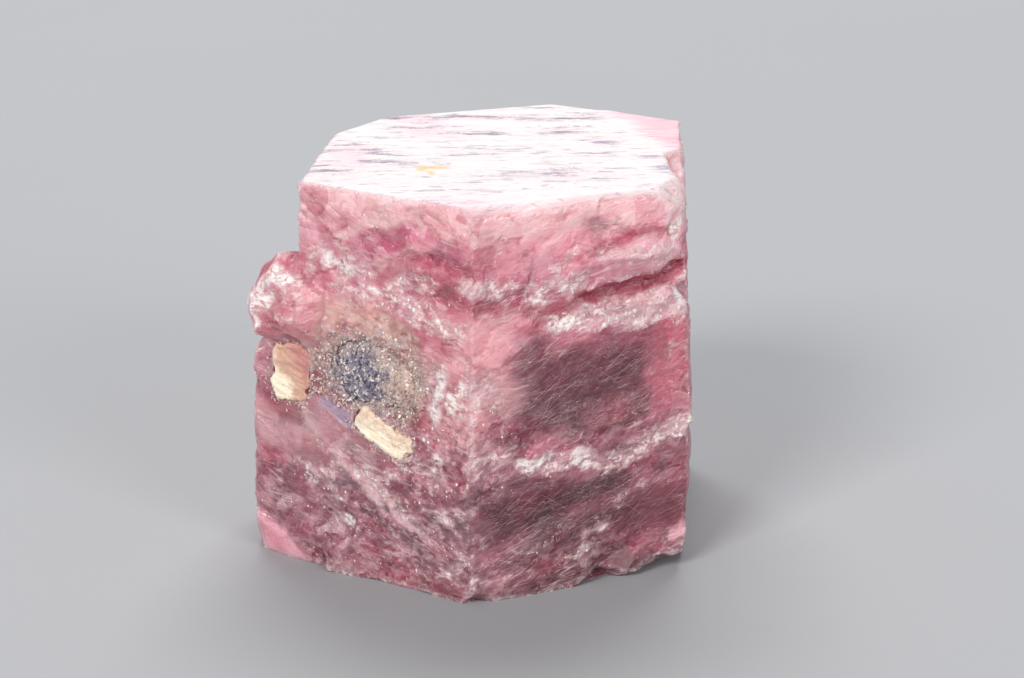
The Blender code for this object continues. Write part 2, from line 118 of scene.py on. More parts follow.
def even_skin(made, cell):
    """Remeshes an object with even squares, each one cell wide."""
    step = made.modifiers.new("even skin", "REMESH")
    step.mode = "VOXEL"
    step.voxel_size = cell
    settle(made)


def points_of(mesh, kind="co"):
    """A row for each point: its place or, where kind is "normal", its normal."""
    found = np.empty(len(mesh.vertices) * 3, np.float32)
    mesh.vertices.foreach_get(kind, found)
    return found.reshape(-1, 3).astype(float)


def set_points(mesh, points):
    mesh.vertices.foreach_set("co", points.astype(np.float32).ravel())
    mesh.update()


def triangles(mesh):
    return sum(len(face.vertices) - 2 for face in mesh.polygons)


print("solids:", {name: triangles(solid.data) for name, solid in sorted(nodes.items())}, "triangles")

# %% [markdown]
# ## An even skin for the stone
#
# The solid has long thin triangles on its flat faces and small ones at its ledges. Fine relief needs
# points everywhere, so a voxel remesh lays an even grid of small squares over the whole stone.

# %% Remesh the stone
SKIN_VOXEL = 0.062

ruby = in_mm("ruby_crystal", "ruby_skin")
even_skin(ruby, SKIN_VOXEL)
count = len(ruby.data.vertices)
place = points_of(ruby.data)
print("skin:", count, "points,", triangles(ruby.data), "triangles")

# %% [markdown]
# ## Face coordinates
#
# Every break and stain on a crystal is easiest to place on the face it lies on. Each prism face gets two
# coordinates: along, which runs to the right as seen from outside, and height. The table holds the way a
# face looks, in degrees, its distance from the prism's axis and its lean. The two front faces get short
# names.

# %% Prism faces
RIGHT, LEFT = "front_right", "front_left"
FACES = {
    RIGHT: (-65, 3.95, 0.9),
    "right": (-4, 3.99, 3.3),
    "back_right": (56, 4.80, 1.5),
    "back_left": (112, 3.88, 0.9),
    "left": (175, 3.86, 0.9),
    LEFT: (-125, 3.72, 0.9),
}
AXIS_SHIFT = np.array((0.002, -0.16, 0.0))
TOP_LEVEL = 6.84


def normal_of(face):
    turn = math.radians(FACES[face][0])
    return np.array((math.cos(turn), math.sin(turn), 0.0))


def coordinates(face, points):
    """Along, height and out of each point on a face."""
    _, distance, lean = FACES[face]
    normal = normal_of(face)
    tangent = np.array((-normal[1], normal[0], 0.0))
    moved = points - AXIS_SHIFT
    height = moved[:, 2]
    return moved @ tangent, height, moved @ normal - (distance - height * math.tan(math.radians(lean)))


print("the faces look towards:", {face: row[0] for face, row in FACES.items()})

# %% [markdown]
# ## The lower left corner
#
# A facet crosses this corner, and it swells where a plane would cut straight. The skin is eased outward
# there, part of the way back to the prism's face.

# %% Swell the corner facet
SWELL_SHARE = 0.65
SWELL_HEIGHT = 0.95
SWELL_START = -1.1
WIDEST_GAP = 0.48

left_along, left_height, left_out = coordinates(LEFT, place)
gap = np.clip(-left_out, 0, 0.5)
swell = SWELL_SHARE * gap * ramp(SWELL_HEIGHT - left_height, 0.0, 0.3)
swell *= ramp(SWELL_START - left_along, 0.0, 0.4)
swell *= ramp(WIDEST_GAP - gap, 0.0, 0.15)
swell *= ramp(-coordinates("left", place)[2], 0.02, 0.30)
place += normal_of(LEFT) * swell[:, None]
set_points(ruby.data, place)
print("corner swells by", round(float(swell.max()), 3), "mm")

# %% [markdown]
# ## Neighbours and noise
#
# Here are two tools for all that follows. Averaging each point with its neighbours, along the mesh's
# edges, blurs anything that is held as one value a point. Fractal noise gives patches of a chosen size,
# and its seed moves the pattern, so that no two agree.

# %% Averages and noise
ends = np.empty(len(ruby.data.edges) * 2, np.int32)
ruby.data.edges.foreach_get("vertices", ends)
ends = ends.reshape(-1, 2)
degree = np.bincount(ends.ravel(), minlength=count)


def smoothed(values, times):
    """Each value moved halfway to the mean of its neighbours, several times over."""
    values = values.reshape(count, -1)
    for _ in range(times):
        total = np.empty_like(values)
        for column in range(values.shape[1]):
            part = values[:, column]
            total[:, column] = np.bincount(ends[:, 0], part[ends[:, 1]], count)
            total[:, column] += np.bincount(ends[:, 1], part[ends[:, 0]], count)
        values = 0.5 * values + 0.5 * total / degree[:, None]
    return values


def fractal(point, octaves=3):
    """Smooth noise at a point, about -1 to 1; each octave is 2.1 times finer than the last."""
    return noise.fractal(point, 0.9, 2.1, octaves)


def sampled(size, seed, octaves=3, stretch=(1, 1, 1), where=None):
    """Smooth noise at every point of the stone, with features about size across."""
    offset = Vector((seed * 3.71, seed * 1.93, seed * 5.37))
    scaled = (place if where is None else where) / size / np.array(stretch)
    return np.array([fractal(Vector(point) + offset, octaves) for point in scaled])


print("neighbours of a point:", degree.min(), "to", degree.max())

# %% [markdown]
# ## Which way breaks run
#
# Streaks and splinters on a broken face run one way: up to the right on the right face and its opposite,
# down to the right on the left one and its opposite. Coordinates squeezed along that way give noise in
# long streaks.

# %% Flow
FLOW_RIGHT = (0, -18, 25)
FLOW_LEFT = (0, 14, -35)
FLOW_TOP = (0, 0, 3)
STREAK = 2.2

facing = points_of(ruby.data, "normal")
on_top = ramp(facing[:, 2], 0.55, 0.9) * ramp(place[:, 2], TOP_LEVEL - 0.35, TOP_LEVEL - 0.12)
on_base = ramp(0.06 - place[:, 2], 0.0, 0.04)


def squeezed(turn):
    """The points in axes turned by these angles, in degrees, with the first axis squeezed."""
    turned = Euler([math.radians(angle) for angle in turn]).to_matrix()
    return (place @ np.array(turned)) / (STREAK, 1, 1)


left_like = np.abs(facing @ normal_of(LEFT)) > np.abs(facing @ normal_of(RIGHT)) + 0.12
flow = np.where(left_like[:, None], squeezed(FLOW_LEFT), squeezed(FLOW_RIGHT))
flow = np.where(on_top[:, None] > 0.5, squeezed(FLOW_TOP), flow)
print("points with the left face's flow:", int(left_like.sum()))

# %% [markdown]
# ## Where edges stand proud
#
# Sharp edges wear white and grooves look deep red. The white is partly wear and partly a painted
# highlight, and the deep red is painted shade. Both follow the shape, so they are measured from it: a
# point that stands out from the average of its neighbourhood is on an edge, and one that lies under it is
# in a groove.

# %% Measure edges and grooves
near = ((place - smoothed(place, 10)) * facing).sum(axis=1)
far = ((place - smoothed(place, 60)) * facing).sum(axis=1)
edge = ramp(near, 0.006, 0.030)
groove = ramp(-far, 0.02, 0.10)
print("edge points:", int((edge > 0.5).sum()), "groove points:", int((groove > 0.5).sum()))

# %% [markdown]
# ## Strokes
#
# A stroke says where something is on the stone: a face, how far it reaches, how strong it is and its
# path. The points are first shifted by noise of two sizes and the reach varies along the flow, so that no
# stroke has a clean border.

# %% Stroke helpers
warped = place.copy()
for axis in range(3):
    warped[:, axis] += 0.12 * sampled(0.55, 21 + axis, 3) + 0.05 * sampled(0.14, 25 + axis, 2)
ragged_reach = 1 + 0.45 * sampled(0.50, 29, 4, where=flow)


def measured_on(face):
    """Along and height of every point on a face, and how much the point belongs to that face."""
    along, height, out = coordinates(face, warped)
    return along, height, ramp(facing @ normal_of(face), 0.1, 0.55) * ramp(1.3 - np.abs(out), 0.0, 0.7)


on_face = {face: measured_on(face) for face in FACES}
on_right, on_left = on_face[RIGHT][2], on_face[LEFT][2]


def distance_to_path(path, along, height):
    best = np.full(len(along), 1e9)
    for (a, b), (c, d) in zip(path, path[1:]):
        run, rise = c - a, d - b
        share = np.clip(((along - a) * run + (height - b) * rise) / (run * run + rise * rise), 0, 1)
        best = np.minimum(best, np.hypot(along - a - share * run, height - b - share * rise))
    return best


def stroke(face, reach, strength, path, soft=0.6):
    """How much of a stroke each point gets, from 0 up to the stroke's strength."""
    along, height, belongs = on_face[face]
    away = distance_to_path(path, along, height) / (reach * ragged_reach)
    return strength * belongs * ramp(1 - away, 0.0, soft)


print("points on the front faces:", int((on_right > 0.5).sum()), "and", int((on_left > 0.5).sum()))

# %% [markdown]
# ## Frost
#
# Where ruby is crushed it turns white, as ice does. Frost lies on ledges and along breaks, in ragged
# islands. Its strokes are listed for the two front faces. On the other sides noise in flat patches
# places it, and sharp edges get a little everywhere. The deep cleft on the right face stays almost free
# of it.

# %% Frost
# Each row: face, reach, strength and path.
FROST = (
    (RIGHT, 0.40, 1.00, ((-0.30, 4.80), (0.8, 4.76), (2.0, 4.84))),
    (RIGHT, 0.20, 1.00, ((-1.95, 2.42), (-1.5, 2.50), (-0.6, 2.33), (0.05, 2.36), (0.45, 2.22))),
    (RIGHT, 0.30, 1.00, ((0.45, 2.2), (1.0, 2.25), (1.5, 2.55), (2.3, 2.75))),
    (RIGHT, 0.26, 0.85, ((-0.9, 5.22), (-0.4, 5.36), (0.1, 5.42))),
    (RIGHT, 0.22, 0.80, ((-2.0, 5.45), (-1.3, 5.45))),
    (RIGHT, 0.14, 0.85, ((-0.55, 5.5), (-0.15, 5.9))),
    (RIGHT, 0.26, 0.70, ((0.5, 5.75), (1.8, 5.80))),
    (RIGHT, 0.24, 1.20, ((1.75, 6.1), (2.0, 6.4))),
    (RIGHT, 0.20, 0.45, ((0.1, 0.4), (0.1, 0.8), (0.6, 1.3), (1.2, 1.7))),
    (RIGHT, 0.16, 0.30, ((-2.0, 0.6), (-2.0, 2.3))),
    (RIGHT, 0.14, 0.40, ((1.1, 3.3), (1.9, 4.2))),
    (LEFT, 0.50, 0.75, ((-0.9, 5.55), (-0.3, 5.55), (0.1, 5.35))),
    (LEFT, 0.34, 0.80, ((-0.4, 5.2), (0.5, 5.05), (1.3, 4.88), (2.0, 4.72))),
    (LEFT, 0.26, 0.80, ((0.7, 5.35), (1.5, 5.4))),
    (LEFT, 0.50, 0.50, ((-0.4, 4.5), (0.9, 4.4))),
    (LEFT, 0.22, 1.20, ((1.55, 3.1), (1.72, 3.5), (1.75, 3.95))),
    (LEFT, 0.34, 0.85, ((2.3, 3.3), (2.35, 4.0))),
    (LEFT, 0.17, 0.75, ((-1.3, 1.86), (-0.9, 1.77), (-0.4, 1.92), (0.2, 1.96), (0.9, 2.02))),
    (LEFT, 0.18, 0.55, ((-1.2, 1.55), (-0.6, 1.5), (0.0, 1.34))),
    (LEFT, 0.12, 1.10, ((0.3, 1.83), (0.95, 1.40), (1.55, 0.95))),
    (LEFT, 0.55, 0.50, ((1.6, 2.3), (1.9, 1.5), (2.2, 0.6))),
    (LEFT, 0.22, 1.00, ((-2.45, 3.2), (-2.3, 3.8))),
)
# The clefts. Their shadow is painted deep crimson further down.
CLEFT = (
    (RIGHT, 0.24, 1.0, ((-0.35, 4.92), (0.1, 5.16), (0.8, 5.18), (1.5, 5.32), (2.1, 5.55))),
    (RIGHT, 0.16, 0.8, ((0.5, 6.0), (1.0, 6.12), (1.7, 6.08))),
    (RIGHT, 0.14, 0.7, ((-1.9, 5.15), (-1.2, 5.12))),
)
tear = sampled(0.16, 40, 4, where=flow)


def broken(field, threshold=0.35, soft=0.55):
    """A soft mask torn into ragged islands by noise."""
    return ramp(field + 0.8 * tear, threshold, threshold + soft) * ramp(field, 0.02, 0.2)


cleft = np.max([stroke(*row) for row in CLEFT], axis=0)
frost = np.max([broken(stroke(*row)) for row in FROST], axis=0) * (1 - 0.8 * cleft)
sides = (1 - on_top) * (1 - on_base)
hidden = 1 - np.maximum(on_right, on_left)
wild = ramp(sampled(1.5, 41, 4, (1.4, 1.4, 0.30)), 0.08, 0.6) * sides * hidden
frost = np.maximum(frost, broken(wild * 0.85))
frost = np.maximum(frost, broken(edge * 0.55) * (1 - on_top))
print("frosted share:", round(float((frost > 0.4).mean()), 3))

# %% [markdown]
# ## Windows and rough ground
#
# A window is a smooth face that lets us look into the dark stone. Rough ground is granular and full of
# small glints: the foot of the stone, the surroundings of the hollow, and wherever there is frost.

# %% Windows and rough ground
# Each row: face, reach, strength, path and how soft the border is.
WINDOWS = (
    (RIGHT, 1.15, 1.0, ((-0.5, 3.65), (1.4, 3.75)), 0.8),
    (RIGHT, 0.95, 1.0, ((-1.6, 1.35), (0.4, 1.65), (1.9, 1.2)), 0.8),
    (LEFT, 0.50, 1.0, ((-2.4, 0.45), (-2.0, 0.20), (-1.5, 0.0)), 0.5),
    (LEFT, 0.70, 0.7, ((-2.2, 2.6), (-1.2, 2.4)), 0.3),
)
window = np.max([stroke(*row) for row in WINDOWS], axis=0)
window = np.maximum(window, 0.6 * ramp(sampled(1.4, 43, 2), 0.1, 0.5) * sides * hidden)
window *= 1 - 0.8 * frost
low_ground = 0.6 * ramp(2.6 - warped[:, 2], 0.0, 0.8) * hidden
low_ground += stroke(LEFT, 1.5, 0.8, ((-0.4, 0.8), (1.0, 0.9), (2.2, 1.6), (2.3, 2.6)), 0.8)
hollow_ground = stroke(LEFT, 1.3, 0.9, ((0.3, 3.7), (1.6, 3.0)))
rough = np.maximum(np.maximum(0.9 * low_ground, hollow_ground), 0.10 + 0.5 * sampled(0.9, 44, 2))
rough = np.maximum(rough * sides * (1 - window), frost)
print("window share:", round(float((window > 0.4).mean()), 3))

# %% [markdown]
# ## The nodule and the whitest breaks
#
# The nodule is the only part that stands out beyond the prism's faces on the left, which is how it is
# found. Frost caps it. A few breaks are almost pure white, partly crushed stone and partly a painted
# highlight, and they get a number of their own.

# %% Nodule and whitest breaks
# The whitest breaks, partly painted highlights. Each row: face, reach, strength and path.
BRIGHT = (
    (RIGHT, 0.16, 1.0, ((0.0, 2.36), (0.35, 2.20))),
    (RIGHT, 0.14, 0.9, ((-1.1, 2.42), (-0.6, 2.34))),
    (RIGHT, 0.14, 1.0, ((-0.45, 4.80), (-0.05, 4.72))),
    (RIGHT, 0.16, 1.0, ((1.9, 5.0), (2.15, 4.7))),
    (RIGHT, 0.18, 0.8, ((-0.8, 5.25), (-0.2, 5.40))),
    (RIGHT, 0.20, 1.0, ((1.85, 6.0), (2.05, 6.4))),
    (LEFT, 0.17, 1.0, ((1.6, 3.1), (1.72, 3.5), (1.75, 3.9))),
    (LEFT, 0.16, 0.8, ((2.0, 3.4), (2.2, 3.9))),
    (LEFT, 0.12, 1.0, ((-0.30, 0.98), (-0.22, 0.93))),
    (LEFT, 0.15, 1.0, ((-1.05, 1.70), (-0.85, 1.60))),
    (LEFT, 0.13, 1.0, ((1.60, 2.48), (1.66, 2.42))),
    (LEFT, 0.13, 0.9, ((0.2, 5.18), (0.8, 5.02))),
    (LEFT, 0.18, 0.9, ((-0.6, 5.62), (-0.2, 5.50))),
)
beyond = np.max([coordinates(face, place)[2] for face in FACES], axis=0)
nodule = ramp(-2.22 - warped[:, 0], 0.0, 0.45) * ramp(place[:, 2], 3.85, 4.0)
nodule *= ramp(6.1 - place[:, 2], 0.0, 0.1)
nodule *= ramp(0.6 - place[:, 1], 0.0, 0.3) * ramp(beyond, 0.03, 0.15)
frost = np.maximum(frost, nodule * broken(ramp(place[:, 2] - 0.6 * place[:, 0], 6.2, 7.2)))
bright = np.max([broken(stroke(*row), 0.45, 0.4) for row in BRIGHT], axis=0)
bright = np.maximum(bright, nodule * broken(ramp(place[:, 2] - 0.8 * place[:, 0], 7.1, 8.0), 0.5, 0.4))
print("points on the nodule:", int((nodule > 0.5).sum()))

# %% [markdown]
# ## Flat facets
#
# A crushed crystal shows many small flat facets, each leaning its own way. We scatter some of the skin's
# own points by chance, find the nearest one for every point, and let the skin lean with it. Each facet
# also gets a number, by which its colour will differ a little from its neighbours': partly its own tone,
# partly painted light and shade, as if each facet caught the light its own way.

# %% Facets
# Heights count for more than widths, so that facets come out lower than wide.
FACET_AXES = (1, 1, 1.3)


def broken_facets(cells, tilt, seed):
    """The relief of this many leaning facets, and each facet's own number."""
    chance = np.random.default_rng(seed)
    seeds = place[chance.choice(count, cells, replace=False)]
    tree = KDTree(cells)
    for number, point in enumerate(seeds):
        tree.insert(Vector(point * FACET_AXES), number)
    tree.balance()
    nearest = np.array([tree.find(Vector(point))[1] for point in warped * FACET_AXES])
    leans = chance.normal(0, tilt, (cells, 3))
    return ((place - seeds[nearest]) * leans[nearest]).sum(axis=1), chance.random(cells)[nearest]


large_facets, facet_shade = broken_facets(900, 0.11, 3)
small_facets, small_shade = broken_facets(9000, 0.20, 4)
print("large facets tilt the skin by up to", round(float(np.abs(large_facets).max()), 3), "mm")

# %% [markdown]
# ## Fine relief
#
# Corundum has no cleavage. It breaks in shell-like curves and in small steps, and its faces keep faint
# growth lines. Noise of several sizes moves the skin by a few hundredths of a millimetre, most on rough
# ground and least in the windows. The base stays flat.

# %% Move the skin
SHELL_HEIGHT = 0.014
STEP_HEIGHT = 0.022
GRAIN_HEIGHT = 0.014
GROWTH_LINES = 0.004
# The sides sink by this much, so that the relief doesn't make the stone larger.
SUNK = 0.010
STEPS = 5

shells = sampled(0.62, 3, 2)
climb = sampled(0.80, 5, 3, (1.6, 1.6, 0.5)) * STEPS
steps_up = (np.floor(climb) + ramp(climb - np.floor(climb), 0.70, 1.0)) / STEPS
grain = sampled(0.15, 8, 3)
lift = SHELL_HEIGHT * shells + STEP_HEIGHT * steps_up + GRAIN_HEIGHT * rough * grain
facet_lift = np.clip(large_facets, -0.07, 0.05) * (0.50 + 0.30 * rough)
facet_lift += np.clip(small_facets, -0.03, 0.02) * 0.6 * rough
lift = (lift + facet_lift) * (sides * (1 - 0.8 * window))
lift += on_top * GROWTH_LINES * sampled(0.25, 12, 2, (4, 1, 1))
place += facing * (lift - SUNK * sides)[:, None]
set_points(ruby.data, place)
facing = points_of(ruby.data, "normal")
print("relief from", round(lift.min(), 3), "to", round(lift.max(), 3), "mm")

# %% [markdown]
# ## The colours of the stone
#
# A ruby's colour comes in zones and clouds: light pink where light gets through, mauve where the stone is
# deep and dark, crimson along breaks. These are the named colours that its zones are painted with.

# %% Colours
COLOURS = {
    "pink": linear(244, 178, 190),
    "light": linear(240, 180, 184),
    "rose": linear(220, 132, 150),
    "mauve_pink": linear(186, 112, 128),
    "mauve": linear(150, 90, 106),
    "dark": linear(126, 58, 74),
    "darkest": linear(98, 44, 58),
    "crimson": linear(178, 64, 90),
    "deep_crimson": linear(164, 26, 66),
    "brown": linear(108, 42, 52),
    "red": linear(244, 164, 172),
    "shelf": linear(220, 172, 178),
    "beige": linear(222, 178, 164),
    "tan": linear(186, 156, 138),
    "grey": linear(146, 116, 126),
    "pale": linear(236, 198, 202),
    "misty": linear(224, 178, 182),
    "lit": linear(252, 214, 212),
    "lavender": linear(188, 184, 228),
    "magenta": linear(208, 108, 138),
}
print("colours:", len(COLOURS))

# %% [markdown]
# ## The zones
#
# Zones are strokes again, each with a colour, and a later one lies over the ones before it. They cover
# the two front faces from top to foot. Wide ones set the depth of a whole region. Narrow ones are cracks,
# lit borders and the painted shadow in the clefts.

# %% Zones
# Each row: face, colour, reach, strength and path.
ZONES = (
    (RIGHT, "pink", 0.80, 0.95, ((-1.9, 6.25), (2.0, 6.25))),
    (RIGHT, "rose", 0.45, 0.70, ((-2.0, 5.75), (-0.9, 5.75), (0.2, 6.0))),
    (RIGHT, "light", 0.80, 0.85, ((-2.05, 3.1), (-1.95, 4.0), (-2.0, 4.8))),
    (RIGHT, "rose", 0.65, 0.60, ((-1.4, 4.5), (-0.4, 4.6))),
    (RIGHT, "mauve_pink", 0.35, 0.70, ((-0.7, 5.1), (0.3, 5.35), (0.9, 5.5))),
    (RIGHT, "dark", 1.15, 1.00, ((-0.7, 3.75), (0.1, 3.40), (1.3, 3.60))),
    (RIGHT, "darkest", 0.80, 0.75, ((-0.7, 3.75), (0.2, 3.35), (0.8, 3.45))),
    (RIGHT, "crimson", 0.60, 0.80, ((1.85, 3.0), (1.8, 4.4))),
    (RIGHT, "rose", 0.55, 0.40, ((1.6, 3.1), (1.7, 4.2))),
    (RIGHT, "brown", 0.26, 0.90, ((-1.3, 2.86), (0.2, 2.90), (1.2, 2.98))),
    (RIGHT, "brown", 0.25, 0.70, ((0.7, 3.1), (1.2, 3.3))),
    (RIGHT, "shelf", 0.30, 0.95, ((-0.25, 4.84), (0.8, 4.80), (2.0, 4.86))),
    (RIGHT, "grey", 0.20, 0.60, ((0.5, 4.84), (1.1, 4.76))),
    (RIGHT, "shelf", 0.26, 0.60, ((0.7, 5.76), (1.7, 5.80))),
    # The next three rows paint the shadow in the clefts, in deep crimson and crimson.
    (RIGHT, "deep_crimson", 0.15, 1.00, ((-0.40, 4.86), (0.1, 5.22), (0.8, 5.22), (1.5, 5.36), (2.1, 5.6))),
    (RIGHT, "crimson", 0.12, 0.90, ((0.7, 6.05), (1.1, 6.15), (1.7, 6.10))),
    (RIGHT, "deep_crimson", 0.14, 0.80, ((2.1, 5.9), (2.1, 5.55))),
    (RIGHT, "dark", 1.00, 0.95, ((-1.7, 1.30), (-0.3, 1.50), (0.6, 1.75))),
    (RIGHT, "darkest", 0.50, 0.80, ((-1.4, 1.45), (-0.3, 1.70), (0.5, 1.90))),
    (RIGHT, "mauve", 0.40, 0.70, ((-1.9, 2.1), (-1.0, 2.2), (0.3, 2.15))),
    (RIGHT, "brown", 0.75, 0.45, ((0.8, 0.7), (1.7, 1.2), (1.9, 1.9))),
    (RIGHT, "crimson", 0.70, 0.30, ((1.0, 0.6), (1.9, 1.2), (2.1, 1.9))),
    (RIGHT, "mauve", 0.50, 0.65, ((-2.1, 0.5), (-2.05, 2.1))),
    (RIGHT, "brown", 0.20, 0.70, ((-1.5, 0.85), (-0.5, 0.85))),
    # Darker along the foot: painted shade.
    (RIGHT, "brown", 0.50, 0.75, ((-2.0, 0.10), (0.2, 0.25), (1.2, 0.35))),
    (RIGHT, "mauve_pink", 0.24, 0.80, ((-1.6, 0.38), (-0.7, 0.32))),
    (LEFT, "pink", 0.62, 1.00, ((-1.2, 6.3), (0.4, 6.15), (1.4, 6.4), (2.4, 6.3))),
    (LEFT, "rose", 0.28, 0.90, ((-0.3, 6.05), (0.2, 5.80), (0.7, 5.88))),
    (LEFT, "mauve_pink", 0.40, 0.90, ((0.2, 5.25), (1.2, 5.45), (2.3, 5.45))),
    (LEFT, "lit", 0.30, 0.55, ((-1.0, 6.60), (0.4, 6.66), (1.5, 6.74))),
    (LEFT, "magenta", 0.40, 0.80, ((-0.3, 5.86), (0.4, 6.02), (1.3, 6.12), (2.1, 6.02))),
    (LEFT, "crimson", 0.26, 0.45, ((-0.2, 5.4), (0.9, 5.3))),
    (LEFT, "crimson", 0.20, 0.50, ((0.9, 5.75), (2.2, 5.72))),
    (LEFT, "lit", 0.11, 0.75,
     ((-0.3, 6.06), (0.1, 6.20), (0.6, 6.40), (1.0, 6.46), (1.5, 6.38), (2.0, 6.26))),
    (LEFT, "lit", 0.08, 0.60,
     ((-0.4, 5.80), (0.0, 5.62), (0.4, 5.62), (0.8, 5.80), (1.2, 5.96), (1.9, 6.02))),
    (LEFT, "light", 0.60, 0.70, ((2.4, 4.9), (2.3, 4.2), (2.4, 3.4))),
    (LEFT, "rose", 0.60, 0.70, ((-0.4, 5.1), (0.9, 4.9), (1.8, 4.5))),
    (LEFT, "beige", 0.46, 0.95, ((-0.6, 4.5), (0.2, 4.55), (0.9, 4.4))),
    (LEFT, "tan", 0.45, 0.95, ((1.05, 3.2), (1.15, 3.7), (1.0, 4.25))),
    (LEFT, "tan", 0.35, 0.80, ((-0.9, 4.1), (-0.7, 3.4))),
    (LEFT, "crimson", 0.24, 0.75, ((-0.7, 5.98), (-0.1, 5.72))),
    (LEFT, "crimson", 0.30, 0.65, ((1.3, 5.35), (2.3, 5.15))),
    (LEFT, "crimson", 0.26, 0.55, ((0.6, 5.05), (1.6, 4.75))),
    (LEFT, "crimson", 0.30, 0.60, ((0.9, 2.5), (1.9, 2.75))),
    # These two rows paint the shadow in the cleft under the shelf.
    (RIGHT, "crimson", 0.22, 0.65, ((-1.6, 5.15), (-0.5, 5.02))),
    (RIGHT, "deep_crimson", 0.22, 0.60, ((0.4, 5.02), (1.3, 5.12))),
    (LEFT, "mauve_pink", 0.45, 0.70, ((-2.1, 2.9), (-1.2, 2.5), (-0.4, 2.6))),
    (LEFT, "misty", 0.80, 0.90, ((-2.2, 2.4), (-1.2, 2.3), (-0.2, 2.3))),
    (LEFT, "crimson", 0.26, 0.65, ((-1.9, 2.95), (-1.4, 2.65))),
    (LEFT, "crimson", 0.16, 0.60, ((-1.1, 2.2), (-0.5, 2.0), (0.1, 2.05))),
    # A lavender glint: painted highlight.
    (LEFT, "lavender", 0.20, 0.75, ((-0.62, 3.02), (-0.28, 2.84))),
    (LEFT, "mauve", 1.10, 0.90, ((-1.4, 1.2), (1.9, 1.1))),
    (LEFT, "grey", 1.00, 0.72, ((-0.6, 1.4), (1.6, 1.4))),
    # Darker along the foot: painted shade.
    (LEFT, "brown", 0.30, 0.80, ((-1.1, 0.12), (0.4, 0.08), (2.0, 0.10))),
)
print("zones:", len(ZONES))

# %% [markdown]
# ## Painting the zones
#
# Clouds of mauve and rose come first, and they also colour the sides that have no zones. The strokes go
# over them. The foot gets less light through the stone, so the tint darkens towards it, as painted shade.
# Three strokes then brighten the chipped lower corners again, as painted light coming through them.

# %% Paint the zones
# Each row: face, colour, reach, strength, path and how soft the border is.
CORNER_ZONES = (
    (LEFT, "pink", 0.50, 1.00, ((-2.5, 0.50), (-2.0, 0.20), (-1.5, 0.0)), 0.5),
    (LEFT, "rose", 0.26, 0.50, ((-2.2, 0.35), (-1.8, 0.12)), 0.8),
    (RIGHT, "pink", 0.16, 0.95, ((1.85, 0.62), (2.05, 0.72)), 0.6),
)
clouds = sampled(1.9, 31, 3)
patches = sampled(0.60, 33, 4, where=flow)
mottle = sampled(0.18, 35, 4, where=flow)
rise = place[:, 2] / TOP_LEVEL
tint = np.tile(COLOURS["mauve_pink"], (count, 1))


def lay(colour, share):
    """Lays a named colour over the tint, by a share at each point."""
    tint[:] = tint + (np.array(COLOURS[colour]) - tint) * np.clip(share, 0, 1)[:, None]


def lay_strokes(table):
    for face, colour, *rest in table:
        lay(colour, stroke(face, *rest))


lay("mauve", ramp(clouds, 0.0, 0.5))
lay("rose", ramp(-clouds, 0.05, 0.5) * 0.8)
lay("pink", ramp(rise + 0.1 * patches, 0.78, 0.95) * 0.9)
lay_strokes(ZONES)
# Painted shade: darker towards the foot.
shade = 0.55 + 0.51 * ramp(rise, 0.10, 0.75)
tint *= np.where(on_left > 0.5, np.maximum(shade, 0.74), shade)[:, None]
# Painted light coming through the thin lower corners.
lay_strokes(CORNER_ZONES)
print("mean tint:", tint.mean(axis=0).round(3))

# %% [markdown]
# ## Light through the rim and the nodule
#
# Light comes through the thin stone under the top's rim and makes it pale pink. The nodule is glassy:
# light red with a paler cap and a deeper red below.

# %% Rim and nodule
under_rim = warped[:, 2] + 0.25 * tear
lit = on_right * ramp(under_rim, 5.95, 6.75)
lit = np.maximum(lit, 0.8 * (1 - on_right) * sides * ramp(under_rim, 6.15, 6.80))
lay("lit", lit * 0.85)
lay("red", nodule * 0.85)
lay("pale", nodule * ramp(clouds - 0.2 * place[:, 0] - 0.6, -0.1, 0.4) * 0.8)
lay("crimson", nodule * ramp(5.35 - warped[:, 2], 0.0, 0.8) * 0.45)
print("lit share:", round(float((lit > 0.4).mean()), 3))

# %% [markdown]
# ## Patches, veins and cracks
#
# Up close the colour is never even. Patches follow the flow, each facet is paler or darker, partly as
# painted light and shade, and mottling and thin pale veins cover the rough ground. Two healed cracks show
# as pale lines. Grooves and the cleft are the deepest red, which is painted shade.

# %% Patches, veins and cracks
HEALED_CRACKS = (
    (LEFT, "pale", 0.10, 0.45, ((-1.2, 2.7), (-0.6, 2.25), (0.05, 1.76))),
    (LEFT, "pale", 0.11, 0.90, ((0.05, 1.76), (0.8, 1.30), (1.5, 0.92))),
)
VEIN_WIDTH = 0.07

busy = (0.25 + 0.75 * rough) * (1 - 0.8 * window)
open_ground = 1 - 0.75 * window
lay("crimson", ramp(patches, 0.10, 0.5) * (0.50 - 0.25 * ramp(rise, 0.80, 0.90)) * open_ground)
lay("rose", ramp(-patches, 0.15, 0.6) * 0.35 * open_ground)
# Painted light and shade, partly: each facet is paler or darker by its number.
tint *= (1 + (0.36 * facet_shade - 0.18) + (0.24 * small_shade - 0.12) * rough)[:, None]
lay("darkest", ramp(mottle, 0.10, 0.60) * 0.50 * busy)
lay("pale", ramp(-mottle, 0.12, 0.55) * 0.50 * busy)
veins = 1 - ramp(np.abs(sampled(0.7, 37, 4, where=flow)), 0.0, VEIN_WIDTH)
lay("pale", veins * ramp(sampled(0.8, 38, 2), -0.1, 0.3) * 0.55 * busy)
lay_strokes(HEALED_CRACKS)
# Painted shade: grooves and the cleft are laid deep crimson.
lay("deep_crimson", groove * (1 - 0.6 * rough) * 0.85)
lay("deep_crimson", cleft * (0.75 + 0.25 * patches))
print("mean tint:", tint.mean(axis=0).round(3))

